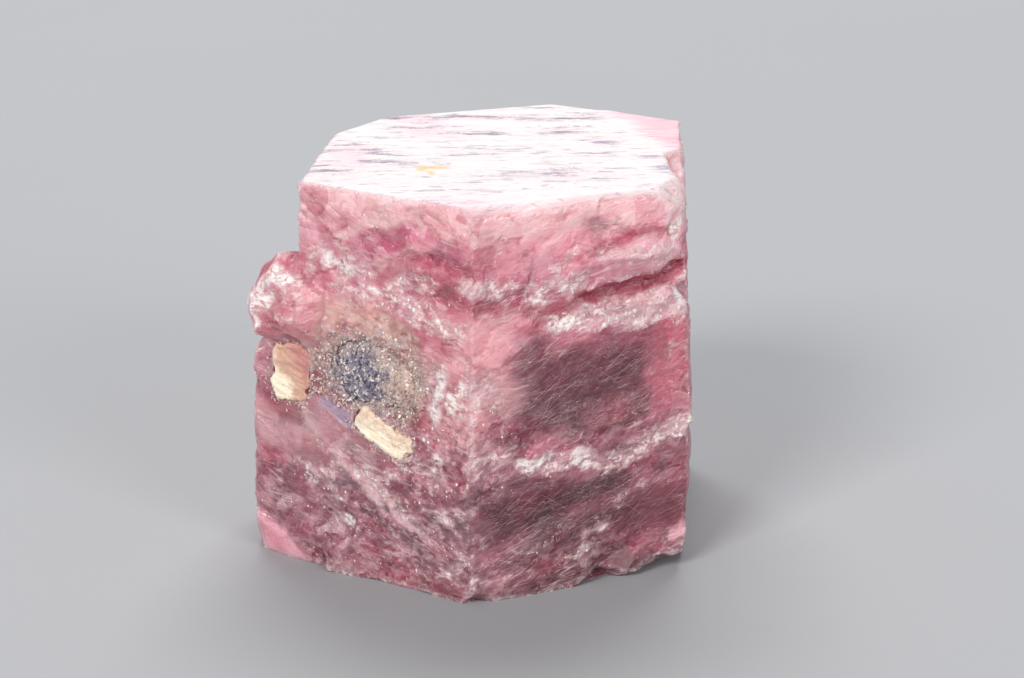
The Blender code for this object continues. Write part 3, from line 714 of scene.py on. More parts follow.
# %% [markdown]
# ## Stains on the top, and ground near the host rock
#
# Three small rust stains mark the flat top. Loose mica grains lie thickest along the border of the mica
# and thin out from it, with some beside the flakes. The real distance to each piece decides, which a
# bounding volume tree finds fast.

# %% Stains and host rock
# Each stain: x, y, half its width and half its length.
STAINS = ((-0.98, -1.45, 0.24, 0.50), (-0.68, -1.35, 0.32, 0.34), (-0.84, -1.85, 0.16, 0.34))
HOLLOW = np.array((-1.85, -3.0, 3.65))
FLAKES = ("calcite_side", "calcite_low")
FARTHEST = 2.0

stain = np.zeros(count)
for x, y, wide, long in STAINS:
    from_middle = np.hypot((warped[:, 0] - x) / wide, (warped[:, 1] - y) / long)
    stain = np.maximum(stain, on_top * ramp(1 - from_middle, 0.0, 1.0))


def distance_to(piece):
    """How far each point of the stone is from a piece, in millimetres."""
    shape = bmesh.new()
    shape.from_mesh(piece.data)
    tree = BVHTree.FromBMesh(shape)
    found = [tree.find_nearest(Vector(point), FARTHEST)[3] for point in place]
    shape.free()
    return np.array([FARTHEST if value is None else value for value in found])


mica = in_mm("mica_patch", "mica_grains")
from_hollow = np.linalg.norm((warped - HOLLOW) * (1, 1, 1.15), axis=1)
by_mica = 0.35 * ramp(1.25 - from_hollow, 0.0, 0.7) ** 2
by_mica = np.maximum(by_mica, ramp(0.34 + 0.2 * tear - distance_to(mica), 0.0, 0.34))
for node in FLAKES:
    spare = in_mm(node, "spare")
    by_mica = np.maximum(by_mica, 0.5 * ramp(0.22 + 0.2 * tear - distance_to(spare), 0.0, 0.2))
    bpy.data.objects.remove(spare)
by_mica *= ramp(facing @ normal_of(LEFT), 0.3, 0.7)
print("points near the host rock:", int((by_mica > 0.3).sum()))

# %% [markdown]
# ## Numbers on the skin
#
# A material can't run numpy, but it can read numbers that a mesh keeps at its points. So every mask
# becomes an attribute of the stone, and the tint becomes a colour attribute. They move with the stone and
# need no unwrapping.

# %% Keep the numbers
def keep(mesh, name, values):
    """Stores one number a point on a mesh, for its material to read."""
    layer = mesh.attributes.new(name, "FLOAT", "POINT")
    layer.data.foreach_set("value", np.asarray(values, np.float32))


crumbly = (0.7 * frost + 0.35 * rough * ramp(mottle, -0.1, 0.3)) * (1 - by_mica) * sides
numbers = {
    "frost": frost,
    "bright": bright,
    "window": window,
    "rough": rough,
    "edge": edge,
    "top": on_top,
    "stain": stain,
    "by_mica": by_mica,
    "left_flow": left_like * 1.0,
    "crumbs": crumbly,
}
for name, values in numbers.items():
    keep(ruby.data, name, np.clip(values, 0, 1))
tint_layer = ruby.data.attributes.new("tint", "FLOAT_COLOR", "POINT")
tint_layer.data.foreach_set("color", np.c_[np.clip(tint, 0, 1), np.ones(count)].astype(np.float32).ravel())
print("attributes:", len(numbers) + 1)

# %% [markdown]
# ## A small kit for node trees
#
# The finishes are built from the same few nodes again and again, so short helpers add them. Every pattern
# reads the object's own coordinates, turned into millimetres, so the patterns stay on the stone when it
# moves.

# %% Node helpers
class Tree:
    """Builds one material's nodes; most calls add a node and return its output socket."""

    def __init__(self, name):
        self.material = bpy.data.materials.new(name)
        self.material.use_nodes = True
        self.nodes = self.material.node_tree.nodes
        self.links = self.material.node_tree.links
        self.shader = self.nodes["Principled BSDF"]
        self.mm = self.vector("SCALE", self.add("ShaderNodeTexCoord").outputs["Object"], 1 / MM)

    def add(self, kind, **settings):
        node = self.nodes.new(kind)
        for key, value in settings.items():
            setattr(node, key, value)
        return node

    def put(self, socket, value):
        """Links a socket to another, or sets its value."""
        if isinstance(value, bpy.types.NodeSocket):
            self.links.new(value, socket)
        elif value is not None:
            socket.default_value = (*value, 1.0) if socket.type == "RGBA" and len(value) == 3 else value

    def math(self, operation, a, b=None):
        node = self.add("ShaderNodeMath", operation=operation)
        self.put(node.inputs[0], a)
        self.put(node.inputs[1], b)
        return node.outputs[0]

    def plus(self, a, b):
        return self.math("ADD", a, b)

    def minus(self, a, b):
        return self.math("SUBTRACT", a, b)

    def times(self, product, *factors):
        for factor in factors:
            product = self.math("MULTIPLY", product, factor)
        return product

    def ramp(self, value, low, high):
        """0 at low and 1 at high, whichever of the two is larger."""
        node = self.add("ShaderNodeMapRange", interpolation_type="SMOOTHSTEP")
        self.put(node.inputs["Value"], value)
        self.put(node.inputs["From Min"], low)
        self.put(node.inputs["From Max"], high)
        return node.outputs["Result"]

    def vector(self, operation, a, b=None):
        node = self.add("ShaderNodeVectorMath", operation=operation)
        self.put(node.inputs[0], a)
        self.put(node.inputs["Scale" if operation == "SCALE" else 1], b)
        return node.outputs["Value" if operation == "DISTANCE" else "Vector"]

    def axes(self, vector):
        node = self.add("ShaderNodeSeparateXYZ")
        self.put(node.inputs[0], vector)
        return node.outputs

    def attribute(self, name, output="Fac"):
        return self.add("ShaderNodeAttribute", attribute_name=name).outputs[output]

    def mixed(self, kind, socket, a, b, share):
        """A Mix node has a pair of sockets for each kind of value: numbers, vectors, then colours."""
        node = self.add("ShaderNodeMix", data_type=kind)
        self.put(node.inputs["Factor"], share)
        self.put(node.inputs[socket], a)
        self.put(node.inputs[socket + 1], b)
        return node.outputs[socket // 2 - 1]

    def between(self, a, b, share):
        return self.mixed("FLOAT", 2, a, b, share)

    def mix_vector(self, a, b, share):
        return self.mixed("VECTOR", 4, a, b, share)

    def mix(self, under, over, share):
        return self.mixed("RGBA", 6, under, over, share)

# %% [markdown]
# ## Patterns and layers
#
# A finish is such a tree with more to it: coordinates turned to run with the breaks, noise and cells for
# the patterns, and a colour that grows layer by layer, as a painter's does. Each finish gets a one-letter
# name, because every line of it uses the name: t for the ruby, m for mica, k for crumbs, c for calcite, f
# for the floor.

# %% Patterns and layers
class Finish(Tree):
    """A material's tree with patterns, and a colour that is laid on in layers."""

    def placed(self, turn=(0, 0, 0), scale=(1, 1, 1), shift=(0, 0, 0)):
        """The coordinates turned about the stone's axes, then stretched."""
        turned = self.add("ShaderNodeMapping", vector_type="TEXTURE")
        turned.inputs["Rotation"].default_value = [math.radians(angle) for angle in turn]
        self.put(turned.inputs["Vector"], self.mm)
        stretched = self.add("ShaderNodeMapping")
        stretched.inputs["Scale"].default_value = scale
        stretched.inputs["Location"].default_value = shift
        self.put(stretched.inputs["Vector"], turned.outputs[0])
        return stretched.outputs[0]

    def noise(self, scale, detail=3.0, rough=0.6, where=None, warp=0.0, output="Fac"):
        node = self.add("ShaderNodeTexNoise")
        self.put(node.inputs["Vector"], where or self.mm)
        self.put(node.inputs["Scale"], scale)
        self.put(node.inputs["Detail"], detail)
        self.put(node.inputs["Roughness"], rough)
        self.put(node.inputs["Distortion"], warp)
        return node.outputs[output]

    def cells(self, scale, where=None):
        """Cells round chance points: the distance to the nearest one, and a colour for each."""
        node = self.add("ShaderNodeTexVoronoi")
        self.put(node.inputs["Vector"], where or self.mm)
        self.put(node.inputs["Scale"], scale)
        return node.outputs["Distance"], node.outputs["Color"]

    def lay(self, tone, *shares):
        """Lays a screen colour over the colour so far, by the product of the shares."""
        self.colour = self.mix(self.colour, linear(*tone), self.times(*shares))

    def bump(self, height, distance, strength, normal=None):
        node = self.add("ShaderNodeBump")
        self.put(node.inputs["Height"], height)
        self.put(node.inputs["Distance"], distance)
        self.put(node.inputs["Strength"], strength)
        self.put(node.inputs["Normal"], normal)
        return node.outputs[0]

    def finish(self, roughness, normal=None, settings=()):
        """Joins the colour and the rest to the shader; plain settings go on its own sockets."""
        self.put(self.shader.inputs["Base Color"], self.colour)
        self.put(self.shader.inputs["Roughness"], roughness)
        self.put(self.shader.inputs["Normal"], normal)
        for name, value in settings:
            self.put(self.shader.inputs[name], value)
        print(self.material.name, "material:", len(self.nodes), "nodes")


def dress(made, finish):
    made.data.materials.clear()
    made.data.materials.append(finish.material)

# %% [markdown]
# ## The ruby's finish: clouds and streaks
#
# Over the colour zones lie veils, dark depths and silky fibres, all drawn out along the flow. Each is a
# noise, cut by a ramp, that lays one colour. In the windows they are fainter, so that we see further in.

# %% Clouds and streaks
t = Finish("ruby")
t.colour = t.attribute("tint", "Color")
frosted, glassy, coarse, basal = (t.attribute(name) for name in ("frost", "window", "rough", "top"))
long_way = (1 / STREAK, 1, 1)
at_right, at_left, at_top = (t.placed(turn, long_way) for turn in (FLOW_RIGHT, FLOW_LEFT, FLOW_TOP))
streak_at = t.mix_vector(t.mix_vector(at_right, at_left, t.attribute("left_flow")), at_top, basal)
ragged = t.noise(11.0, 4.0, 0.75, t.mm, 0.8)
wisps = t.noise(2.2, 5.0, 0.70, streak_at, 1.2)
fibre = t.noise(13.0, 3.0, 0.65, streak_at, 0.6)
# Each layer: its colour, its noise, where that starts and is full, and its strength outside and in windows.
for tone, pattern, start, full, outside, inside in (
    ((240, 196, 202), wisps, 0.52, 0.74, 0.40, 0.10),
    ((124, 36, 58), wisps, 0.47, 0.28, 0.52, 0.12),
    ((244, 206, 208), fibre, 0.40, 0.72, 0.16, 0.08),
    ((120, 50, 66), fibre, 0.48, 0.30, 0.22, 0.16),
):
    t.lay(tone, t.ramp(pattern, start, full), t.between(outside, inside, glassy))
print("streaks are", STREAK, "times as long as wide")

# %% [markdown]
# ## The ruby's finish: large breaks
#
# Light falls differently on each large break, so some are paler and some deeper. Cells with bent borders
# stand for them. They show most near the top, where the stone is clearest.

# %% Large breaks
bent = t.vector("MULTIPLY", t.noise(0.9, 2.0, 0.5, output="Color"), (1.6, 1.6, 1.1))
_, breaks = t.cells(1.5, t.vector("ADD", t.mm, bent))
break_share = t.axes(breaks)[0]
upper = t.ramp(t.plus(t.axes(t.mm)[2], t.times(ragged, 0.8)), 5.5, 6.2)
clear = t.times(t.minus(1.0, glassy), t.between(1.0, 1.3, upper))
t.lay((250, 204, 212), t.ramp(break_share, 0.55, 1.0), clear, 0.22)
t.lay((184, 66, 100), t.ramp(break_share, 0.40, 0.0), clear, 0.28)
print("nodes so far:", len(t.nodes))

# %% [markdown]
# ## The ruby's finish: cracks and scratches
#
# Hair-thin cracks are where a noise passes through its middle value. Scratches are straight, so each set
# of them is a stack of thin strips with one line in each. Chance places the line, and another noise cuts
# it into lengths. Five sets cross each other, and they show best in the windows.

# %% Cracks and scratches
# Each set: its turn in degrees, strips to a millimetre, width, how rare it is, and a seed.
SCRATCHES = (
    ((0, -42, 25), 9.0, 0.0065, 0.48, 1.3),
    ((0, -25, 25), 9.0, 0.0060, 0.48, 7.9),
    ((0, -5, 25), 9.0, 0.0060, 0.50, 4.1),
    ((0, -62, 25), 6.0, 0.0060, 0.54, 5.6),
    ((0, 35, 25), 5.0, 0.0060, 0.56, 9.7),
)
SCRATCH_BEND = 1.6


def scratch_set(turn, many, width, rare, seed):
    at = t.placed(turn, shift=(seed, seed * 0.7, 0))
    x, _, z = t.axes(at)
    bent_z = t.plus(t.times(z, many), t.times(t.noise(0.5, 1.0, 0.5, at), SCRATCH_BEND))
    strip = t.math("FLOOR", bent_z)
    chance = t.add("ShaderNodeTexWhiteNoise", noise_dimensions="1D")
    t.put(chance.inputs["W"], t.plus(strip, seed))
    middle = t.plus(t.times(chance.outputs["Value"], 0.7), 0.15)
    away = t.math("ABSOLUTE", t.minus(t.math("FRACT", bent_z), middle))
    spot = t.add("ShaderNodeCombineXYZ")
    t.put(spot.inputs[0], t.times(x, 0.55))
    t.put(spot.inputs[1], t.plus(t.times(strip, 3.7), seed))
    lengths = t.ramp(t.noise(1.0, 1.0, 0.5, spot.outputs[0]), rare, rare + 0.10)
    return t.times(t.ramp(away, width * many, 0.2 * width * many), lengths)


crack = t.noise(5.0, 1.0, 0.5, t.vector("MULTIPLY", streak_at, (0.45, 1, 1)), 0.8)
crack = t.ramp(t.math("ABSOLUTE", t.minus(crack, 0.5)), 0.022, 0.004)
t.lay((246, 212, 210), crack, t.ramp(t.noise(1.3, 2.0), 0.48, 0.60), t.between(0.50, 0.15, glassy))
scratches = scratch_set(*SCRATCHES[0])
for row in SCRATCHES[1:]:
    scratches = t.math("MAXIMUM", scratches, scratch_set(*row))
faded = t.between(0.25, 1.0, t.ramp(t.noise(1.6, 3.0), 0.38, 0.62))
t.lay((226, 184, 186), scratches, t.times(faded, t.between(0.14, 0.46, glassy)))
print("sets of scratches:", len(SCRATCHES))

# %% [markdown]
# ## The ruby's finish: grit, frost and rims
#
# Rough ground has light and dark facets, partly painted light and shade, pale dust and dark pits. Frost
# is a white haze, thicker where a crust of crushed stone lies on it. The whitest breaks and the worn rims
# come last. Their white is partly crushed stone and wear and partly a painted highlight.

# %% Grit, frost and rims
_, facets = t.cells(8.5)
_, splinters = t.cells(24.0)
facet = t.axes(facets)[0]
# Painted light and shade, partly: pale and dark facets on rough ground.
t.lay((232, 196, 202), coarse, t.ramp(facet, 0.62, 0.95), 0.22)
t.lay((112, 58, 70), coarse, t.ramp(facet, 0.35, 0.05), 0.28)
t.lay((238, 208, 208), coarse, t.times(t.ramp(fibre, 0.50, 0.66), t.ramp(ragged, 0.42, 0.58)), 0.55)
t.lay((96, 44, 58), coarse, t.times(t.ramp(fibre, 0.46, 0.34), t.minus(1.0, frosted)), 0.40)
t.lay((228, 190, 194), frosted, t.between(0.28, 0.62, t.ramp(wisps, 0.34, 0.62)))
crushed = t.plus(fibre, t.times(ragged, 0.4))
crust = t.times(frosted, t.ramp(crushed, 0.66, 0.90))
t.lay((252, 236, 232), crust, 0.78)
# The whitest breaks: crushed stone, partly a painted highlight.
t.lay((255, 246, 242), t.attribute("bright"), t.ramp(crushed, 0.56, 0.76), 0.95)
# Worn rims along sharp edges, partly a painted highlight.
t.lay((250, 224, 228), t.attribute("edge"), t.ramp(ragged, 0.40, 0.60), 0.65)
print("nodes so far:", len(t.nodes))

# %% [markdown]
# ## The ruby's finish: glints
#
# Broken ruby sparkles: here and there a tiny facet sends the light straight back. Each cell of a fine
# pattern gets one round speck at its centre. Its size is the cell's chance number, so only a few are
# large enough to be seen.

# %% Glints
SPECKS_PER_MM = (13.0, 13.0, 9.0)
SPECK_REACH = 0.48

from_speck, speck_colour = t.cells(1.0, t.vector("MULTIPLY", t.mm, SPECKS_PER_MM))
speck_size = t.times(t.ramp(t.axes(speck_colour)[0], 0.35, 1.0), SPECK_REACH)
grit = t.times(t.plus(coarse, 0.15), t.ramp(wisps, 0.40, 0.62))
t.lay((255, 246, 236), t.ramp(t.minus(t.times(grit, speck_size), from_speck), 0.0, 0.04))
print("specks are up to", round(2 * SPECK_REACH / SPECKS_PER_MM[0], 3), "mm wide")

# %% [markdown]
# ## The ruby's finish: the flat top
#
# The top is dull and almost white, partly its frosted face and partly painted reflection of the light
# behind, with grey-violet marks in a band across its middle, all along one way.
# It turns pink towards its right rim, and it has the rust stains. It gets a colour of its own, which then
# goes over the stone's where the skin is part of the top.

# %% The flat top
stone_colour = t.colour
top_x, top_y, _ = t.axes(t.mm)
top_at = t.placed(FLOW_TOP, (0.26, 1, 1))
top_streak = t.noise(3.0, 5.0, 0.70, top_at, 0.4)
top_patches = t.noise(0.6, 2.0, 0.6)
# Near white: partly the frosted face, partly painted reflection.
t.colour = t.mix(linear(228, 220, 220), linear(232, 206, 212), t.ramp(top_patches, 0.54, 0.70))
fine_mark = t.times(t.ramp(t.noise(9.0, 3.0, 0.6, top_at, 0.2), 0.56, 0.64), t.ramp(top_streak, 0.40, 0.55))
t.lay((134, 114, 148), fine_mark, 0.70)
middle_band = t.times(t.ramp(top_y, -3.0, -1.7), t.ramp(top_patches, 0.43, 0.56))
torn_streak = t.plus(top_streak, t.times(t.minus(ragged, 0.5), 0.35))
t.lay((86, 70, 108), t.times(t.ramp(torn_streak, 0.50, 0.66), middle_band), 0.85)
margin = t.ramp(t.plus(top_x, t.times(top_y, 0.25)), 2.7, 3.9)
margin = t.plus(margin, t.times(t.ramp(top_streak, 0.40, 0.60), 0.3))
t.lay((232, 168, 184), t.ramp(margin, 0.55, 1.2), 0.75)
stained = t.ramp(t.times(t.attribute("stain"), t.plus(ragged, 0.5)), 0.12, 0.8)
t.lay((240, 190, 120), stained, 0.85)
t.colour = t.mix(stone_colour, t.colour, t.times(basal, 0.95))
print("nodes so far:", len(t.nodes))

# %% [markdown]
# ## The ruby's finish: how it takes the light
#
# Light goes a little way into ruby, is tinted there and comes back out, so the shader has subsurface
# scattering and a share of plain transmission with ruby's index of refraction, 1.77. The normals lean a
# little in each cell of the breaks, facets and splinters, which makes small flat faces that flash one by
# one.

# %% How it takes the light
RUBY_IOR = 1.77
CRUST_ROUGHNESS = 0.50
TOP_ROUGHNESS = 0.55


def leaning(cell_colours, amount, normal):
    """The normal, leaning its own way in each cell."""
    lean = t.vector("SCALE", t.vector("SUBTRACT", cell_colours, (0.5, 0.5, 0.5)), amount)
    return t.vector("NORMALIZE", t.vector("ADD", normal, lean))


roughness = t.between(t.between(0.28, 0.20, upper), 0.20, glassy)
roughness = t.between(roughness, CRUST_ROUGHNESS, t.math("MAXIMUM", crust, t.times(coarse, 0.4)))
roughness = t.between(roughness, TOP_ROUGHNESS, basal)
off_top = t.minus(1.0, basal)
normal = t.add("ShaderNodeNewGeometry").outputs["Normal"]
normal = leaning(breaks, t.times(off_top, t.between(t.between(0.16, 0.28, upper), 0.03, glassy)), normal)
normal = leaning(facets, t.times(off_top, t.plus(t.times(coarse, 0.22), 0.05)), normal)
normal = leaning(splinters, t.plus(t.times(crust, 0.35), t.times(coarse, 0.14)), normal)
normal = t.bump(t.plus(t.times(wisps, 3.0), fibre), 0.03 * MM, 0.6, normal)
t.finish(roughness, normal, (
    ("IOR", RUBY_IOR),
    ("Specular IOR Level", 0.28),
    ("Transmission Weight", 0.12),
    ("Subsurface Weight", t.between(0.60, 0.15, crust)),
    ("Subsurface Radius", (1.0, 0.40, 0.48)),
    ("Subsurface Scale", 0.7 * MM),
))
dress(ruby, t)

# %% [markdown]
# ## The lump of mica
#
# The lump in the hollow is a crust of mica. Its solid gets an even skin with low lumps, and its rim
# swells a little over the stone's edge, so that no dark gap shows. Each point also keeps how near it is
# to the dark core, because more grains will lie there.

# %% Mica lump
MICA_VOXEL = 0.045
MICA_CENTRE = (-1.86, -2.86, 3.64)
MICA_LUMPS = 0.034
MICA_GROWTH = 0.05
CORE_REACH = 0.95

even_skin(mica, MICA_VOXEL)
dark_share = []
for vertex, normal in zip(mica.data.vertices, points_of(mica.data, "normal")):
    rim = 1 - abs(float(normal @ normal_of(LEFT)))
    vertex.co += Vector(normal) * (MICA_LUMPS * fractal(vertex.co * 4.0) + MICA_GROWTH * rim)
    from_core = (vertex.co - Vector(MICA_CENTRE)).length + 0.22 * fractal(vertex.co * 2.2)
    dark_share.append(0.65 + 0.35 * min(max((CORE_REACH - from_core) / 0.35, 0), 1))
keep(mica.data, "core", dark_share)
print("mica lump:", triangles(mica.data), "triangles")

# %% [markdown]
# ## The mica's finish
#
# Mica grains are grey and blue-black in the core, tan and cream round it, and a few are almost white.
# Each grain has one chance number, and ramps on it pick the colour, so a grain keeps nearly one colour.
# The coat gives their flat faces a sheen.

# %% Mica material
MICA_PALE = (-1.40, -3.25, 3.80)

m = Finish("mica")
own = m.attribute("grain")
mottled = m.noise(3.5, 4.0, 0.65)
to_core = m.plus(m.vector("DISTANCE", m.mm, MICA_CENTRE), m.times(m.noise(2.2, 4.0, 0.7), 1.1))
core = m.ramp(to_core, 1.42, 1.05)
tan = m.ramp(m.plus(mottled, m.times(own, 0.3)), 0.50, 0.76)
rim_grain = m.mix(linear(214, 184, 172), linear(162, 138, 130), tan)
core_grain = m.mix(linear(140, 134, 150), linear(74, 72, 96), m.ramp(own, 0.30, 0.50))
m.colour = m.mix(rim_grain, core_grain, core)
m.lay((196, 182, 178), m.ramp(own, 0.60, 0.64))
m.lay((244, 230, 220), m.ramp(own, 0.91, 0.93))
to_pale = m.plus(m.vector("DISTANCE", m.mm, MICA_PALE), m.times(mottled, 0.3))
m.lay((244, 228, 208), m.ramp(to_pale, 0.48, 0.34))
m.lay((66, 54, 66), m.ramp(m.noise(16.0, 3.0), 0.55, 0.7), m.between(0.12, 0.5, core))
flaky = m.bump(m.noise(30.0, 3.0), 0.01 * MM, 0.8)
m.finish(m.between(0.2, 0.6, m.noise(18.0, 2.0)), flaky, (("Coat Weight", 0.3),))
dress(mica, m)

# %% [markdown]
# ## Strewing grains
#
# Thousands of grains are best strewn by Geometry Nodes. The tree scatters points over a target, more
# where a named attribute is high, puts a copy of one chip on each, turns and sizes it by chance, and
# keeps a chance number for its colour. It ends by making the copies real mesh, because the export drops
# instances.

# %% The strewing tree
def strewing_tree(name, material, weight):
    """Geometry nodes that strew a chip over a target."""
    tree = bpy.data.node_groups.new(name, "GeometryNodeTree")
    inputs = {"Target": "Object", "Chip": "Object", "Density": "Float", "Size": "Float", "Seed": "Int"}
    for title, kind in inputs.items():
        tree.interface.new_socket(title, in_out="INPUT", socket_type="NodeSocket" + kind)
    tree.interface.new_socket("Geometry", in_out="OUTPUT", socket_type="NodeSocketGeometry")

    def add(kind, values=(), **settings):
        """A node with its settings made and its inputs linked or set."""
        node = tree.nodes.new(kind)
        for key, value in settings.items():
            setattr(node, key, value)
        for key, value in dict(values).items():
            if isinstance(value, bpy.types.NodeSocket):
                tree.links.new(value, node.inputs[key])
            else:
                node.inputs[key].default_value = value
        return node.outputs

    given = add("NodeGroupInput")
    target = add("GeometryNodeObjectInfo", {"Object": given["Target"]})["Geometry"]
    chip = add("GeometryNodeObjectInfo", {"Object": given["Chip"]})["Geometry"]
    share = add("GeometryNodeInputNamedAttribute", {"Name": weight}, data_type="FLOAT")["Attribute"]
    density = add("ShaderNodeMath", {0: given["Density"], 1: share}, operation="MULTIPLY")[0]
    scatter = {"Mesh": target, "Density": density, "Seed": given["Seed"]}
    points = add("GeometryNodeDistributePointsOnFaces", scatter)["Points"]
    turns = {"Min": (-math.pi,) * 3, "Max": (math.pi,) * 3, "Seed": given["Seed"]}
    turn = add("FunctionNodeRandomValue", turns, data_type="FLOAT_VECTOR")["Value"]
    sizes = {"Min": (0.35,) * 3, "Max": (1.0,) * 3, "Seed": given["Seed"]}
    size = add("FunctionNodeRandomValue", sizes, data_type="FLOAT_VECTOR")["Value"]
    scale = add("ShaderNodeVectorMath", {0: size, "Scale": given["Size"]}, operation="SCALE")["Vector"]
    number = add("FunctionNodeRandomValue", {"Seed": given["Seed"]}, data_type="FLOAT")[1]
    placed = {"Points": points, "Instance": chip, "Rotation": turn, "Scale": scale}
    copies = add("GeometryNodeInstanceOnPoints", placed)["Instances"]
    kept = {"Geometry": copies, "Name": "grain", "Value": number}
    copies = add("GeometryNodeStoreNamedAttribute", kept, data_type="FLOAT", domain="INSTANCE")["Geometry"]
    real = add("GeometryNodeRealizeInstances", {"Geometry": copies})["Geometry"]
    painted = add("GeometryNodeSetMaterial", {"Geometry": real, "Material": material})["Geometry"]
    add("NodeGroupOutput", {"Geometry": painted})
    return tree


def strew(target, chip, name, amount, size, seed, material, weight):
    """A mesh of about this many chips on the target, more where its weight attribute is high."""
    carrier = add_object(name, bpy.data.meshes.new(name))
    modifier = carrier.modifiers.new(name, "NODES")
    modifier.node_group = strewing_tree(name, material, weight)
    shares = np.empty(len(target.data.vertices), np.float32)
    target.data.attributes[weight].data.foreach_get("value", shares)
    area = sum(face.area for face in target.data.polygons) * float(shares.mean())
    inputs = {"Target": target, "Chip": chip, "Density": amount / area, "Size": size, "Seed": seed}
    for item in modifier.node_group.interface.items_tree:
        if item.in_out == "INPUT":
            modifier[item.identifier] = inputs[item.name]
    settle(carrier)
    return carrier

# %% [markdown]
# ## The grains of mica
#
# One grain is a flattened ball of twenty faces. Some thousands cover the lump's outer skin, and as many
# lie spilled on the stone round it, a little smaller, so that the lump has no sharp border.

# %% Mica grains
GRAINS = 3800
SPILLED = 3600
GRAIN_SIZE = 0.046

shape = bmesh.new()
bmesh.ops.create_icosphere(shape, subdivisions=1, radius=1.0)
for vertex in shape.verts:
    vertex.co.z *= 0.55
    vertex.co.x *= 1.25
chip = object_from(shape, "grain")
grains = strew(mica, chip, "grain_cover", GRAINS, GRAIN_SIZE, 5, m.material, "core")
spilled = strew(ruby, chip, "spilled_grains", SPILLED, GRAIN_SIZE * 0.8, 9, m.material, "by_mica")
print("mica grains:", triangles(grains.data) + triangles(spilled.data), "triangles")

# %% [markdown]
# ## Crumbs of ruby
#
# Where the stone is crushed, crumbs of it still cling to the breaks. They catch the light one by one. The
# same tree strews them, most where the frost is.

# %% Crumbs
CRUMBS = 2200
CRUMB_SIZE = 0.022

k = Finish("ruby crumbs")
k_own = k.attribute("grain")
k.colour = k.mix(linear(230, 178, 188), linear(250, 230, 226), k.ramp(k_own, 0.60, 0.90))
k.lay((204, 140, 154), k.ramp(k_own, 0.22, 0.16))
k.finish(k.between(0.15, 0.5, k.noise(14.0, 2.0)), None, (("IOR", RUBY_IOR), ("Transmission Weight", 0.2)))
crumbs = strew(ruby, chip, "ruby_crumbs", CRUMBS, CRUMB_SIZE, 13, k.material, "crumbs")
print("crumbs:", triangles(crumbs.data), "triangles")

# %% [markdown]
# ## The calcite's finish
#
# Calcite is cream and waxy, with fine parallel layers. An attribute says how deep each point of a flake
# lies in the stone's shade, and the colour goes from cream to dusky pink with it: painted shade.

# %% Calcite material
c = Finish("calcite")
layers_in = c.noise(1.0, 3.0, 0.6, c.placed((0, 22, -35), (1.5, 1.5, 14.0)))
c_patch = c.noise(2.4, 4.0, 0.65, warp=0.8)
in_shade = c.plus(c.attribute("in_shade"), c.times(c.minus(c_patch, 0.5), 0.9))
# Painted shade: cream turns dusky pink deeper in the stone's shade.
c.colour = c.mix(linear(254, 236, 212), linear(212, 168, 146), c.ramp(in_shade, 0.30, 0.56))
c.lay((198, 136, 130), c.ramp(in_shade, 0.66, 1.0))
c.lay((226, 196, 176), c.ramp(layers_in, 0.50, 0.62), 0.35)
c.lay((170, 124, 116), c.ramp(c.noise(9.0, 4.0, 0.7), 0.58, 0.72), 0.45)
waxy = c.bump(c.noise(7.0, 4.0, 0.7), 0.03 * MM, 0.7)
c.finish(c.between(0.3, 0.6, c.noise(12.0, 3.0)), c.bump(layers_in, 0.03 * MM, 0.8, waxy), (
    ("Subsurface Weight", 0.3),
    ("Subsurface Radius", (1.0, 0.8, 0.6)),
    ("Subsurface Scale", 0.2 * MM),
))

# %% [markdown]
# ## Calcite flakes
#
# Calcite splits into slanted blocks along three cleavage planes, so its flakes are flat with stepped
# edges. Each flake is remeshed finely. Its broad face is cut into small steps, and its edges are torn and
# grow a little over the stone.

# %% Flakes
FLAKE_CELL = 0.026
FLAKE_GROWTH = 0.035
TORN_EDGE = 0.16
STEP_DEPTH = 0.030
PIT_DEPTH = 0.03
# How much painted shade darkens a flake: at its left foot, along it and up it.
DARKENING = {"calcite_side": (0, 0.75, 0.45), "calcite_low": (0.10, 0.25, 0.25)}


def torn_flake(node):
    flake = in_mm(node, node + "_flake")
    even_skin(flake, FLAKE_CELL)
    across, up, _ = coordinates(LEFT, points_of(flake.data))
    across, up = [(part - part.min()) / (part.max() - part.min()) for part in (across, up)]
    start, by_across, by_up = DARKENING[node]
    # Painted shade: how deep the point lies in the stone's shade.
    keep(flake.data, "in_shade", start + by_across * across + by_up * up)
    for vertex, normal in zip(flake.data.vertices, points_of(flake.data, "normal")):
        spot = vertex.co.copy()
        ledge = fractal(Vector((spot.x * 2.2, spot.y * 2.2, spot.z * 5.0)))
        torn = fractal(spot * 3.1 + Vector((7, 3, 1)))
        front_on = abs(float(normal @ normal_of(LEFT)))
        grow = (1 - front_on) * (FLAKE_GROWTH + TORN_EDGE * min(torn, 0.3))
        grow += front_on * (STEP_DEPTH * math.floor(ledge * 4) / 4 - PIT_DEPTH * abs(torn))
        vertex.co += Vector(normal) * grow
    flake.data.update()
    dress(flake, c)
    return flake


flakes = [torn_flake(node) for node in FLAKES]
print("flakes:", [triangles(flake.data) for flake in flakes], "triangles")

# %% [markdown]
# ## One mesh for the mica
#
# The lump, its cover and the spilled grains belong together, so they become one mesh. The chip and the
# spare objects go. Each part brought its own material slot, and all faces are set to the first.

# %% Join the mica
shape = bmesh.new()
for part in (mica, grains, spilled):
    shape.from_mesh(part.data)
for face in shape.faces:
    face.material_index = 0
shape.to_mesh(mica.data)
shape.free()
for spare in (chip, grains, spilled):
    bpy.data.objects.remove(spare)
print("mica:", triangles(mica.data), "triangles")

# %% [markdown]
# ## Put the pieces on the frame
#
# Each finished skin goes back to metres, rides on the root body and stands for its solid.

